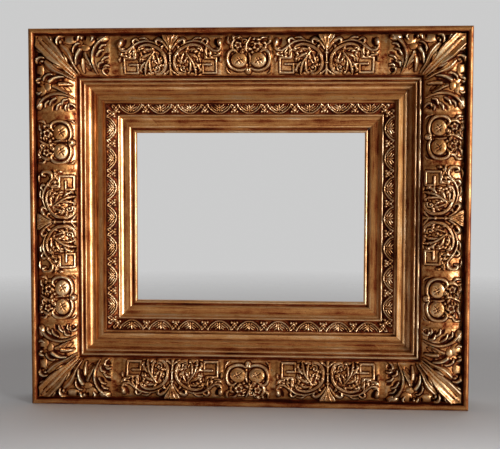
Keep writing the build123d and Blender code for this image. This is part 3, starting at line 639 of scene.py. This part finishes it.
def moulding_height(inset, sizes):
    """Height of the round moulding at an inset, in millimetres."""
    radius = sizes.round_radius / MM
    off = inset - sizes.crest_inset / MM
    return sizes.crest_height / MM - radius + np.sqrt(radius ** 2 - off ** 2)


def channel_height(inset, sizes):
    """Height of the channel that holds the leaf band, in millimetres."""
    share = (inset - sizes.band_outer / MM) / (sizes.channel_width / MM)
    return (sizes.band_top - sizes.band_fall * share) / MM


def deselect():
    """Leaves edit mode and lets go of everything."""
    if bpy.context.mode != "OBJECT":
        bpy.ops.object.mode_set(mode="OBJECT")
    bpy.ops.object.select_all(action="DESELECT")


def carve(name, front, seat, tone):
    """Adds a grid, carves it to the front's points, pulls its rim back to its seat and closes the back."""
    rows, columns = tone.shape
    deselect()
    bpy.ops.mesh.primitive_grid_add(x_subdivisions=columns - 1, y_subdivisions=rows - 1, size=1)
    piece = bpy.context.object
    piece.name = name
    mesh = piece.data
    mesh.name = name
    mesh.vertices.foreach_set("co", (front * MM).astype(np.float32).ravel())
    shade = mesh.attributes.new("tone", "FLOAT", "POINT")
    shade.data.foreach_set("value", tone.astype(np.float32).ravel())
    bpy.ops.object.mode_set(mode="EDIT")
    bpy.ops.mesh.select_mode(type="EDGE")
    bpy.ops.mesh.select_all(action="DESELECT")
    bpy.ops.mesh.select_non_manifold(extend=False)
    bpy.ops.mesh.extrude_edges_move()
    drawn = bmesh.from_edit_mesh(mesh)
    for point in drawn.verts:
        if point.select:
            point.co.y = -seat(point.co / MM) * MM
    bmesh.update_edit_mesh(mesh)
    bpy.ops.mesh.edge_face_add()
    bpy.ops.mesh.select_all(action="SELECT")
    bpy.ops.mesh.normals_make_consistent(inside=False)
    bpy.ops.object.mode_set(mode="OBJECT")
    bpy.ops.object.shade_smooth_by_angle(angle=SMOOTH_ANGLE)
    return piece


def side_matrix(number, along):
    """Carries a piece made at the origin to its place along a side: x along the run, z outwards."""
    reach = HEIGHT / 2 if number % 2 == 0 else WIDTH / 2
    turn = Matrix.Rotation(math.radians(90 * number), 4, "Y")
    return Matrix.Translation((0, 0, HEIGHT / 2)) @ turn @ Matrix.Translation((along, BACK, reach))


def run_of(number):
    """Length of a side along its outer edge."""
    return WIDTH if number % 2 == 0 else HEIGHT


def side_of(node):
    """Number of the side that a node's name holds."""
    return SIDES.index(node.split("_")[1])


def along_of(node, number):
    """How far a casting's CAD node lies from the middle of its side, along the run."""
    low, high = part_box(node)
    x, _, z = (low + high) / 2
    return (x, HEIGHT / 2 - z, -x, z - HEIGHT / 2)[number]


def ground(work, end, pad):
    """Ground of a casting, thinned out towards its edges."""
    rim = np.minimum(work.u - work.u.min(), work.u.max() - work.u)
    near = np.clip(np.minimum(end - np.abs(work.s), 2 * rim) / FEATHER, 0, 1)
    work.edge = near * near * (3 - 2 * near)
    work.height = THIN_EDGE + (pad - THIN_EDGE) * work.edge


def stand_up(u, sizes, inner):
    """How much higher the carving stands away from the crest, most of all along the outer edge."""
    off = (u - sizes.crest_inset / MM) / RISE_REACH
    return 1 + np.where(off < 0, RISE_OUTER, inner) * off ** 2


def set_piece(master, node, matrix, finish):
    """Copies a modelled piece to its place, where it stands for its CAD node."""
    piece = master.copy()
    piece.data = master.data.copy()
    piece.name = node + "_carved"
    piece.data.name = piece.name
    piece.data.transform(matrix)
    bpy.context.scene.collection.objects.link(piece)
    piece.data.materials.clear()
    piece.data.materials.append(finish)
    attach(piece, BODY)
    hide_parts(node)


def remove(master):
    """Clears away a model whose copies are all in place."""
    mesh = master.data
    bpy.data.objects.remove(master)
    bpy.data.meshes.remove(mesh)


def straight_casting(name, piece_length, sizes, pattern):
    """Casting on a straight stretch of the round moulding, centred on the origin."""
    step = sizes.spacing / MM
    half = piece_length / MM / 2
    columns = round(2 * half / step) + 1
    low, high = sizes.outer_inset / MM, sizes.inner_inset / MM
    rows = round((high - low) / step) + 1
    s, u = np.meshgrid(np.linspace(-half, half, columns), np.linspace(high, low, rows))
    work = Carving(s, u, sizes.pad / MM)
    ground(work, half, sizes.pad / MM)
    pattern(work)
    work.height *= stand_up(u, sizes, RISE_INNER)
    height, tone = finish_carving(work, step)
    front = np.stack([s, -moulding_height(u, sizes) - height, -u], -1)
    glue = sizes.glue / MM
    return carve(name, front, lambda at: moulding_height(-at.z, sizes) + glue, tone)


def corner_casting(name, sizes):
    """Casting over a mitre, with the corner at the origin and its arms along +X and -Z."""
    step = sizes.spacing / MM
    reach = sizes.corner_length / MM
    low, high = sizes.outer_inset / MM, sizes.inner_inset / MM
    half = round((reach - low) / step)
    rows = round((high - low) / step) + 1
    share, u = np.meshgrid(np.linspace(-1, 1, 2 * half + 1), np.linspace(high, low, rows))
    s = u + np.abs(share) * (reach - u)
    work = Carving(s, u, sizes.pad / MM)
    ground(work, reach, sizes.pad / MM)
    carve_corner(work)
    work.height *= stand_up(u, sizes, RISE_CORNER)
    height, tone = finish_carving(work, step)
    across = np.where(share > 0, s, u)
    down = np.where(share > 0, u, s)
    front = np.stack([across, -moulding_height(u, sizes) - height, -down], -1)
    glue = sizes.glue / MM
    return carve(name, front, lambda at: moulding_height(min(at.x, -at.z), sizes) + glue, tone)


def band_casting(name, run, sizes):
    """Leaf band along one side of the liner, mitred at its ends, centred on the origin."""
    step = sizes.spacing / MM
    low, high = sizes.band_outer / MM, sizes.band_inner / MM
    half = run / MM / 2
    columns = round(2 * (half - low) / step) + 1
    rows = round((high - low) / step) + 1
    share, u = np.meshgrid(np.linspace(-1, 1, columns), np.linspace(high, low, rows))
    s = share * (half - u - MITRE_GAP)
    work = Carving(s, u - low, sizes.band_pad / MM)
    count = round(2 * (half - high) / (sizes.band_pitch / MM))
    carve_band(work, 2 * (half - high) / count, count)
    height, tone = finish_carving(work, step)
    front = np.stack([s, -channel_height(u, sizes) - height, -u], -1)
    glue = sizes.glue / MM
    return carve(name, front, lambda at: channel_height(-at.z, sizes) + glue, tone)


# Finishes

# Share of the wood's colour that its growth lines keep, and colours of its stains and of aged metal
LATE_WOOD = (0.36, 0.30, 0.26)
WOOD_STAIN = (0.03, 0.018, 0.01)
METAL_SPOT = (0.035, 0.02, 0.012)
BRASS_TARNISH = (0.16, 0.10, 0.045)
STEEL_TARNISH = (0.13, 0.11, 0.095)
# Shift of the finish's pattern to either side of a diagonal, so that opposite sides differ, in metres
SIDE_SHIFT = 0.7


def opaque(value):
    """Colour with its alpha."""
    return (*value, 1.0)


class Wiring:
    """Adds nodes to one node tree and joins them."""

    def __init__(self, tree):
        self.tree = tree

    def add(self, kind, inputs=(), **settings):
        """New node with its settings made and its inputs fed."""
        made = self.tree.nodes.new(kind)
        for name, value in settings.items():
            setattr(made, name, value)
        self.fill(made, dict(inputs))
        return made

    def fill(self, node, inputs):
        """Feeds inputs of a node, by their names or numbers."""
        for name, value in inputs.items():
            self.feed(node.inputs[name], value)

    def feed(self, socket, value):
        """Links a socket to another one, or sets its value."""
        if isinstance(value, bpy.types.NodeSocket):
            self.tree.links.new(value, socket)
        else:
            socket.default_value = value

    def math(self, operation, first, second=0.0):
        return self.add("ShaderNodeMath", {0: first, 1: second}, operation=operation).outputs[0]

    def around(self, value, amount):
        """Value that varies about a half, made to vary about nothing by an amount."""
        return self.math("MULTIPLY", self.math("SUBTRACT", value, 0.5), amount)

    def between(self, value, low, high, to_low=0.0, to_high=1.0):
        """Value carried from one range to another, and held inside it."""
        ranged = {"Value": value, "From Min": low, "From Max": high, "To Min": to_low, "To Max": to_high}
        return self.add("ShaderNodeMapRange", ranged).outputs["Result"]

    def mix(self, factor, first, second, blend="MIX"):
        made = self.add("ShaderNodeMix", {0: factor}, data_type="RGBA", blend_type=blend)
        self.feed(made.inputs[6], first)
        self.feed(made.inputs[7], second)
        return made.outputs[2]

    def stretched(self, vector, scale):
        """Vector times a scale for each axis."""
        return self.add("ShaderNodeVectorMath", {0: vector, 1: scale}, operation="MULTIPLY").outputs[0]

    def noise(self, vector, scale, detail=3.0, roughness=0.55):
        values = {"Vector": self.stretched(vector, scale), "Scale": 1.0,
                  "Detail": detail, "Roughness": roughness}
        return self.add("ShaderNodeTexNoise", values).outputs["Fac"]

    def curve(self, value, stops, span):
        """Value read from stops of (place, level), by place along a span."""
        ramp = self.add("ShaderNodeValToRGB", {"Fac": self.math("DIVIDE", value, span)})
        elements = ramp.color_ramp.elements
        while len(elements) < len(stops):
            elements.new(0.5)
        for element, (place, level) in zip(elements, stops):
            element.position = place / span
        for element, (place, level) in zip(elements, stops):
            element.color = (level, level, level, 1)
        return ramp.outputs["Color"]


def new_group(name, inputs, outputs):
    """Empty node group with named sockets; returns its wiring, what it is given and its output node."""
    tree = bpy.data.node_groups.new(name, "ShaderNodeTree")
    for socket, kind in inputs:
        tree.interface.new_socket(socket, in_out="INPUT", socket_type=kind)
    for socket, kind in outputs:
        tree.interface.new_socket(socket, in_out="OUTPUT", socket_type=kind)
    wires = Wiring(tree)
    return wires, wires.add("NodeGroupInput").outputs, wires.add("NodeGroupOutput")


def place_group():
    """Where a point lies on the frame, in mm: in from the outer edge, up from the back and along its side."""
    wires, given, out = new_group(
        "Place on frame", [("Position", "NodeSocketVector")],
        [("Inset", "NodeSocketFloat"), ("Height", "NodeSocketFloat"), ("Place", "NodeSocketVector")])
    split = wires.add("ShaderNodeSeparateXYZ", {0: given["Position"]}).outputs
    above = wires.math("SUBTRACT", split["Z"], HEIGHT / 2)
    from_side = wires.math("SUBTRACT", WIDTH / 2, wires.math("ABSOLUTE", split["X"]))
    from_end = wires.math("SUBTRACT", HEIGHT / 2, wires.math("ABSOLUTE", above))
    level = wires.math("LESS_THAN", from_end, from_side)
    across = wires.math("MULTIPLY", split["X"], level)
    upright = wires.math("MULTIPLY", above, wires.math("SUBTRACT", 1.0, level))
    offset = wires.math("MULTIPLY", wires.math("SIGN", wires.math("ADD", split["X"], above)), SIDE_SHIFT)
    run = wires.math("MULTIPLY", wires.math("ADD", wires.math("ADD", across, upright), offset), 1 / MM)
    inset = wires.math("MULTIPLY", wires.math("MINIMUM", from_side, from_end), 1 / MM)
    height = wires.math("MULTIPLY", wires.math("SUBTRACT", BACK, split["Y"]), 1 / MM)
    place = wires.add("ShaderNodeCombineXYZ", {0: run, 1: inset, 2: height}).outputs[0]
    wires.fill(out, {"Inset": inset, "Height": height, "Place": place})


def gilding_group():
    """Old gilding by tone: grime and painted shade, red clay, toned gold, and polished gold that is also
    painted highlight; with streaks, rubbing and specks.
    """
    colours = ("Dirt", "Bole", "Gold", "Bright")
    wires, given, out = new_group(
        "Old gilding",
        [("Place", "NodeSocketVector"), ("Tone", "NodeSocketFloat"), ("Streaks", "NodeSocketFloat"),
         ("Mottle", "NodeSocketFloat")]
        + [(name, "NodeSocketColor") for name in colours],
        [("Color", "NodeSocketColor"), ("Roughness", "NodeSocketFloat"), ("Metallic", "NodeSocketFloat"),
         ("Coat", "NodeSocketFloat"), ("Height", "NodeSocketFloat")])
    place = given["Place"]
    clouds = wires.around(wires.noise(place, (0.021, 0.05, 0.05), 2.0), 0.55)
    lines = wires.around(wires.noise(place, (0.03, 0.9, 0.9), 3.0, 0.6), given["Streaks"])
    patches = wires.around(wires.noise(place, (0.11, 0.14, 0.14)), given["Mottle"])
    tooth = wires.around(wires.noise(place, (0.8, 0.9, 0.9), 4.0, 0.65), 0.40)
    drift = wires.math("ADD", clouds, patches)
    tone = wires.math("ADD", given["Tone"], wires.math("ADD", drift, wires.math("ADD", lines, tooth)))
    # Low tone is painted shade with grime, high tone painted highlight with polish
    shade = wires.mix(wires.between(tone, 0.02, 0.26), given["Dirt"], given["Bole"])
    shade = wires.mix(wires.between(tone, 0.20, 0.52), shade, given["Gold"])
    shade = wires.mix(wires.between(tone, 0.50, 0.92), shade, given["Bright"])
    # Rubbed places where the clay shows through, and dark specks
    rubbed = wires.between(wires.noise(place, (0.09, 0.22, 0.22), 5.0, 0.7), 0.60, 0.72, 0.0, 0.55)
    shade = wires.mix(rubbed, shade, given["Bole"])
    speckle = wires.stretched(place, (0.15, 0.17, 0.17))
    cells = wires.add("ShaderNodeTexVoronoi", {"Vector": speckle, "Scale": 1.0})
    dots = wires.between(cells.outputs["Distance"], 0.05, 0.10, 0.85, 0.0)
    shade = wires.mix(dots, shade, given["Dirt"])
    dents = wires.around(wires.noise(place, (0.19, 0.21, 0.21), 2.0), given["Mottle"])
    worn = wires.math("ADD", wires.math("MULTIPLY", dents, 4.5), wires.math("MULTIPLY", rubbed, -0.2))
    wires.fill(out, {"Color": shade,
                     "Roughness": wires.between(tone, 0.1, 1.0, 0.50, 0.34),
                     "Metallic": wires.between(tone, 0.10, 0.6, 0.35, 0.92),
                     "Coat": wires.between(tone, 0.32, 0.68, 0.0, 0.70),
                     "Height": wires.math("ADD", tooth, worn)})


def timber_group():
    """Bare wood: grain along the run, with darker growth lines and stains."""
    wires, given, out = new_group(
        "Bare timber", [("Place", "NodeSocketVector"), ("Wood", "NodeSocketColor")],
        [("Color", "NodeSocketColor"), ("Height", "NodeSocketFloat")])
    fibre = wires.noise(given["Place"], (0.02, 0.85, 0.85), 5.0, 0.65)
    figure = wires.noise(given["Place"], (0.006, 0.11, 0.11), 3.0, 0.5)
    stain = wires.noise(given["Place"], (0.018, 0.022, 0.022), 3.0, 0.6)
    dark = wires.mix(1.0, given["Wood"], opaque(LATE_WOOD), "MULTIPLY")
    shade = wires.mix(wires.between(fibre, 0.38, 0.66), given["Wood"], dark)
    shade = wires.mix(wires.between(figure, 0.45, 0.62, 0.0, 0.6), shade, dark)
    shade = wires.mix(wires.between(stain, 0.52, 0.70, 0.0, 0.55), shade, opaque(WOOD_STAIN))
    wires.fill(out, {"Color": shade, "Height": fibre})


GROUP_MAKERS = {"Place on frame": place_group, "Old gilding": gilding_group, "Bare timber": timber_group}


def use_group(wires, name, inputs):
    """Places a node group in a material, after building it the first time, and returns its outputs."""
    if name not in bpy.data.node_groups:
        GROUP_MAKERS[name]()
    return wires.add("ShaderNodeGroup", inputs, node_tree=bpy.data.node_groups[name]).outputs


def start_material(name):
    """Empty material with a Principled surface; returns it, its wiring and the surface."""
    made = bpy.data.materials.get(name) or bpy.data.materials.new(name)
    made.use_nodes = True
    made.node_tree.nodes.clear()
    wires = Wiring(made.node_tree)
    surface = wires.add("ShaderNodeBsdfPrincipled")
    wires.add("ShaderNodeOutputMaterial", {"Surface": surface.outputs["BSDF"]})
    return made, wires, surface


def placed(wires):
    """The point's place on the frame, from its own coordinates."""
    return use_group(wires, "Place on frame", {"Position": wires.add("ShaderNodeTexCoord").outputs["Object"]})


def gild(wires, finish, place, tone, streaks, mottle):
    """Old gilding in the frame's own colours."""
    inputs = {"Place": place, "Tone": tone, "Streaks": streaks, "Mottle": mottle,
              "Dirt": opaque(finish.dirt_and_shade), "Bole": opaque(finish.bole_and_shade),
              "Gold": opaque(finish.gold), "Bright": opaque(finish.bright)}
    return use_group(wires, "Old gilding", inputs)


def varnish(wires, surface):
    """Thin clear coat that gives the gold its pale lights."""
    wires.fill(surface, {"Coat IOR": 2.0, "Coat Roughness": 0.27,
                         "Specular IOR Level": 0.12, "Specular Tint": (1.0, 0.84, 0.52, 1.0)})


def roughen(wires, surface, height, strength, distance):
    """Fine relief under the finish; distance is in millimetres."""
    bump = wires.add("ShaderNodeBump", {"Height": height, "Strength": strength, "Distance": distance * MM})
    wires.feed(surface.inputs["Normal"], bump.outputs["Normal"])


# Tone across each moulding, as (inset in mm, tone): painted shade in quirks, grooves, under lips and on one
# side of the hollow, which also stands for grime, and painted highlights on beads
OUTER_TONES = (
    (0.0, 0.30), (1.6, 0.30), (3.6, 0.35), (5.6, 0.28), (6.8, 0.14), (8.8, 0.10), (9.6, 0.37), (57.6, 0.37),
    (58.8, 0.14), (60.2, 0.16), (61.0, 0.50), (62.1, 0.78), (63.2, 0.46), (63.9, 0.18), (65.1, 0.20),
    (65.8, 0.46), (66.8, 0.64), (68.1, 0.34), (69.4, 0.26), (72.0, 0.50), (75.4, 0.24), (78.6, 0.60),
    (80.4, 0.28), (81.2, 0.34), (83.6, 0.48), (86.4, 0.54), (87.3, 0.34),
)
LINER_TONES = (
    (80.0, 0.30), (88.2, 0.34), (89.6, 0.48), (90.4, 0.40), (90.9, 0.14), (91.8, 0.12), (92.2, 0.22),
    (103.6, 0.20), (104.8, 0.12), (105.4, 0.54), (106.3, 0.64), (107.5, 0.40), (110.0, 0.52), (112.4, 0.30),
    (113.6, 0.26), (116.5, 0.42), (119.2, 0.34), (120.4, 0.58), (121.7, 0.36), (122.4, 0.14), (123.8, 0.14),
    (124.6, 0.48), (126.0, 0.62), (127.8, 0.45),
)
MOULDING_SPAN = 130.0
# Middle and half width of the round moulding, and limits of the rebate with a little to spare, in mm
ROUND_MIDDLE = 33.0
ROUND_HALF = 25.0
REBATE_INSET = 119.0
REBATE_DEPTH = 14.2
# A point this close to the outer side or to the back lies on it, in millimetres
ON_FACE = 0.05
# Streaks and mottle of the round moulding, and of the small mouldings beside it
ROUND_STREAKS, SMALL_STREAKS = 0.12, 0.60
ROUND_MOTTLE, SMALL_MOTTLE = 1.10, 0.20
CASTING_MOTTLE = 0.65


def gilded_moulding(name, finish, tones):
    """Gilded face, ochre outer side and bare timber at the back and in the rebate."""
    made, wires, surface = start_material(name)
    place = placed(wires)
    off_round = wires.math("ABSOLUTE", wires.math("SUBTRACT", place["Inset"], ROUND_MIDDLE))
    streaks = wires.between(off_round, ROUND_HALF - 1, ROUND_HALF + 1, ROUND_STREAKS, SMALL_STREAKS)
    mottle = wires.between(streaks, ROUND_STREAKS, SMALL_STREAKS, ROUND_MOTTLE, SMALL_MOTTLE)
    # Painted light and shade along the moulding's profile
    tone = wires.curve(place["Inset"], tones, MOULDING_SPAN)
    gilding = gild(wires, finish, place["Place"], tone, streaks, mottle)
    timber = use_group(wires, "Bare timber", {"Place": place["Place"], "Wood": opaque(finish.timber)})
    paint = use_group(wires, "Bare timber", {"Place": place["Place"], "Wood": opaque(finish.ochre)})
    side = wires.math("LESS_THAN", place["Inset"], ON_FACE)
    behind = wires.math("LESS_THAN", place["Height"], ON_FACE)
    rebate = wires.math("MULTIPLY", wires.math("GREATER_THAN", place["Inset"], REBATE_INSET),
                        wires.math("LESS_THAN", place["Height"], REBATE_DEPTH))
    bare = wires.math("MAXIMUM", behind, rebate)
    plain = wires.math("MAXIMUM", bare, side)
    gilded = wires.math("SUBTRACT", 1.0, plain)
    shade = wires.mix(side, gilding["Color"], paint["Color"])
    shade = wires.mix(bare, shade, timber["Color"])
    dull = wires.math("MULTIPLY", plain, 0.72)
    wires.fill(surface, {"Base Color": shade,
                         "Roughness": wires.math("MAXIMUM", gilding["Roughness"], dull),
                         "Metallic": wires.math("MULTIPLY", gilding["Metallic"], gilded),
                         "Coat Weight": wires.math("MULTIPLY", gilding["Coat"], gilded)})
    varnish(wires, surface)
    grain = wires.math("MULTIPLY", timber["Height"], plain)
    roughen(wires, surface, wires.math("ADD", gilding["Height"], grain), 0.35, 0.3)
    return made


def gilded_casting(finish):
    """Gilded plaster, with painted shade and grime in the hollows of the carving and painted highlights,
    which also stand for polish, on its crests.
    """
    made, wires, surface = start_material("gilded casting")
    place = placed(wires)
    tone = wires.add("ShaderNodeAttribute", attribute_name="tone").outputs["Fac"]
    gilding = gild(wires, finish, place["Place"], tone, ROUND_STREAKS, CASTING_MOTTLE)
    wires.fill(surface, {"Base Color": gilding["Color"], "Roughness": gilding["Roughness"],
                         "Metallic": gilding["Metallic"], "Coat Weight": gilding["Coat"]})
    varnish(wires, surface)
    roughen(wires, surface, gilding["Height"], 0.30, 0.3)
    return made


def aged_metal(name, base, tarnish):
    """Handled metal: dull film in clouds, fine scratches along and dark spots."""
    made, wires, surface = start_material(name)
    place = placed(wires)["Place"]
    film = wires.between(wires.noise(place, (0.16, 0.16, 0.16), 5.0, 0.6), 0.38, 0.66)
    scratch = wires.noise(place, (0.12, 2.6, 2.6), 3.0, 0.6)
    spots = wires.between(wires.noise(place, (0.9, 0.9, 0.9), 4.0, 0.6), 0.62, 0.72, 0.0, 0.7)
    shade = wires.mix(film, opaque(base), opaque(tarnish))
    shade = wires.mix(spots, shade, opaque(METAL_SPOT))
    wear = wires.math("ADD", film, scratch)
    wires.fill(surface, {"Base Color": shade,
                         "Roughness": wires.between(wear, 0.3, 1.6, 0.30, 0.58),
                         "Metallic": wires.between(spots, 0.0, 0.7, 1.0, 0.4)})
    roughen(wires, surface, wires.math("ADD", scratch, spots), 0.25, 0.15)
    return made


def cover(node, material):
    """Gives a CAD node one finish."""
    mesh = frame["nodes"][node].data
    mesh.materials.clear()
    mesh.materials.append(material)


# Studio

# The floor is whole up to the first distance from the middle and gone at the second, in metres
FLOOR_FADE = (0.5, 1.6)
FLOOR_RADIUS = 3.0
# Way that the key light travels, and how wide it looks from the frame
KEY_WAY = Vector((-0.78, 0.625, -0.02))
KEY_WIDTH = math.radians(24)
# Lamp that hangs over the floor in front of the frame and shines down
LAMP_PLACE = (0.15, -0.75, 1.1)
LAMP_SIZE = 0.8
LAMP_SPREAD = math.radians(50)
SENSOR_WIDTH = 36
# How far behind the frame a direction points where the room ends and where the backdrop is whole
BACKDROP_EDGE = (-0.3, 0.6)


def add_floor(studio):
    """Wide pale floor that fades into the background."""
    deselect()
    bpy.ops.mesh.primitive_circle_add(vertices=96, radius=FLOOR_RADIUS, fill_type="NGON")
    floor = bpy.context.object
    floor.name = "floor"
    made, wires, surface = start_material("pale floor")
    place = wires.add("ShaderNodeTexCoord").outputs["Object"]
    grain = wires.noise(place, (9, 9, 9))
    shade = wires.mix(grain, opaque(studio.floor), opaque([0.96 * part for part in studio.floor]))
    out = wires.add("ShaderNodeVectorMath", {0: place}, operation="LENGTH").outputs["Value"]
    wires.fill(surface, {"Base Color": shade, "Roughness": 0.8,
                         "Alpha": wires.between(out, *FLOOR_FADE, 1.0, 0.0)})
    floor.data.materials.append(made)


def light_world(scene, studio):
    """Pale backdrop behind the frame, and a dimmer room in front of it."""
    world = bpy.data.worlds.new("studio")
    scene.world = world
    world.use_nodes = True
    world.node_tree.nodes.clear()
    wires = Wiring(world.node_tree)
    toward = wires.add("ShaderNodeTexCoord").outputs["Generated"]
    depth = wires.add("ShaderNodeSeparateXYZ", {0: toward}).outputs["Y"]
    behind = wires.between(depth, *BACKDROP_EDGE)
    behind.node.interpolation_type = "SMOOTHSTEP"
    shade = wires.mix(behind, opaque(studio.room), opaque(studio.backdrop))
    background = wires.add("ShaderNodeBackground", {"Color": shade})
    wires.add("ShaderNodeOutputWorld", {"Surface": background.outputs[0]})


def add_lamps(scene, studio):
    """Soft key from far on the right, and a lamp on the floor in front, whose light comes back up."""
    key = bpy.data.lights.new("key", "SUN")
    key.energy = studio.key_strength
    key.angle = KEY_WIDTH
    holder = bpy.data.objects.new("key", key)
    holder.rotation_euler = KEY_WAY.to_track_quat("-Z", "Y").to_euler()
    scene.collection.objects.link(holder)
    lamp = bpy.data.lights.new("floor lamp", "AREA")
    lamp.size = LAMP_SIZE
    lamp.energy = studio.floor_power
    lamp.spread = LAMP_SPREAD
    holder = bpy.data.objects.new("floor lamp", lamp)
    holder.location = LAMP_PLACE
    scene.collection.objects.link(holder)


def add_camera(scene, studio):
    """Camera at the photo's angle."""
    lens = bpy.data.cameras.new("camera")
    lens.lens = studio.lens
    lens.sensor_width = SENSOR_WIDTH
    camera = bpy.data.objects.new("camera", lens)
    camera.location = studio.camera_place
    camera.rotation_euler = studio.camera_turn
    scene.collection.objects.link(camera)
    scene.camera = camera


# Operators, one for each group of like pieces

class CornerLeaves(bpy.types.Operator):
    """Model the acanthus on the four mitres"""
    bl_idname = "gilded_frame.corner_leaves"
    bl_label = "Corner leaves"

    def execute(self, context):
        sizes = context.scene.gilded_frame.sizes
        finish = gilded_casting(context.scene.gilded_frame.finish)
        master = corner_casting("corner_leaf", sizes)
        for number, corner in enumerate(CORNERS):
            set_piece(master, "corner_leaf_" + corner, side_matrix(number, -run_of(number) / 2), finish)
        remove(master)
        return {"FINISHED"}


class Fans(bpy.types.Operator):
    """Model the fans with their baluster, scrolls and strapwork"""
    bl_idname = "gilded_frame.fans"
    bl_label = "Fans"

    def execute(self, context):
        sizes = context.scene.gilded_frame.sizes
        finish = gilded_casting(context.scene.gilded_frame.finish)
        for first, buds in ((0, True), (1, False)):
            master = straight_casting("fan", sizes.fan_length, sizes, lambda work: carve_fan(work, buds))
            for node in FANS:
                number = side_of(node)
                if number % 2 == first:
                    set_piece(master, node, side_matrix(number, along_of(node, number)), finish)
            remove(master)
        return {"FINISHED"}


class Cartouches(bpy.types.Operator):
    """Model the cartouches with their two shields and flowers"""
    bl_idname = "gilded_frame.cartouches"
    bl_label = "Cartouches"

    def execute(self, context):
        sizes = context.scene.gilded_frame.sizes
        finish = gilded_casting(context.scene.gilded_frame.finish)
        master = straight_casting("cartouche", sizes.cartouche_length, sizes, carve_cartouche)
        for node in CARTOUCHES:
            number = side_of(node)
            set_piece(master, node, side_matrix(number, along_of(node, number)), finish)
        remove(master)
        return {"FINISHED"}


class LeafBands(bpy.types.Operator):
    """Model the bands of swags and leaves in the liner's channel"""
    bl_idname = "gilded_frame.leaf_bands"
    bl_label = "Leaf bands"

    def execute(self, context):
        sizes = context.scene.gilded_frame.sizes
        finish = gilded_casting(context.scene.gilded_frame.finish)
        for first in (0, 1):
            master = band_casting("leaf_band", run_of(first), sizes)
            for number in (first, first + 2):
                set_piece(master, "leaf_band_" + SIDES[number], side_matrix(number, 0), finish)
            remove(master)
        return {"FINISHED"}


class Mouldings(bpy.types.Operator):
    """Finish the outer and inner mouldings"""
    bl_idname = "gilded_frame.mouldings"
    bl_label = "Mouldings"

    def execute(self, context):
        finish = context.scene.gilded_frame.finish
        outer = gilded_moulding("gilded outer moulding", finish, OUTER_TONES)
        liner = gilded_moulding("gilded liner", finish, LINER_TONES)
        for side in SIDES:
            cover("outer_rail_" + side, outer)
            cover("inner_rail_" + side, liner)
        return {"FINISHED"}


class Fittings(bpy.types.Operator):
    """Finish the hangers, turn buttons, plates, nails and screws"""
    bl_idname = "gilded_frame.fittings"
    bl_label = "Fittings"

    def execute(self, context):
        finish = context.scene.gilded_frame.finish
        brass = aged_metal("aged brass", finish.brass, BRASS_TARNISH)
        steel = aged_metal("dull steel", finish.steel, STEEL_TARNISH)
        for node in frame["nodes"]:
            if node.startswith(("hanger_", "turn_button_")):
                cover(node, brass)
            elif node.endswith(("_nails", "_plates")) or node == "plate_screws":
                cover(node, steel)
        return {"FINISHED"}


class Studio(bpy.types.Operator):
    """Add the floor, the light and the camera"""
    bl_idname = "gilded_frame.studio"
    bl_label = "Studio"

    def execute(self, context):
        scene = context.scene
        studio = scene.gilded_frame.studio
        scene.view_settings.view_transform = "Standard"
        add_floor(studio)
        light_world(scene, studio)
        add_lamps(scene, studio)
        add_camera(scene, studio)
        return {"FINISHED"}


class FramePanel(bpy.types.Panel):
    """Sizes, finishes and steps of the frame"""
    bl_idname = "VIEW3D_PT_gilded_frame"
    bl_label = "Gilded Frame"
    bl_space_type = "VIEW_3D"
    bl_region_type = "UI"
    bl_category = "Frame"

    def draw(self, context):
        settings = context.scene.gilded_frame
        for group in (settings.sizes, settings.finish, settings.studio):
            box = self.layout.box()
            for name in group.bl_rna.properties.keys():
                if name not in ("rna_type", "name"):
                    box.prop(group, name)
        for step in STEPS:
            self.layout.operator(step.bl_idname)


GROUPS = (OrnamentSizes, FrameFinish, FrameStudio, FrameSettings)
STEPS = (CornerLeaves, Fans, Cartouches, LeafBands, Mouldings, Fittings, Studio)
CLASSES = GROUPS + STEPS + (FramePanel,)


def register():
    for entry in CLASSES:
        bpy.utils.register_class(entry)
    bpy.types.Scene.gilded_frame = PointerProperty(type=FrameSettings)


def unregister():
    del bpy.types.Scene.gilded_frame
    for entry in reversed(CLASSES):
        bpy.utils.unregister_class(entry)


def main():
    """Builds the frame's looks, step by step."""
    register()
    for entry in list(bpy.data.objects):
        if entry.name in DEFAULT_OBJECTS:
            bpy.data.objects.remove(entry)
    bpy.ops.gilded_frame.corner_leaves()
    bpy.ops.gilded_frame.fans()
    bpy.ops.gilded_frame.cartouches()
    bpy.ops.gilded_frame.leaf_bands()
    bpy.ops.gilded_frame.mouldings()
    bpy.ops.gilded_frame.fittings()
    bpy.ops.gilded_frame.studio()


if __name__ == "__main__":
    main()
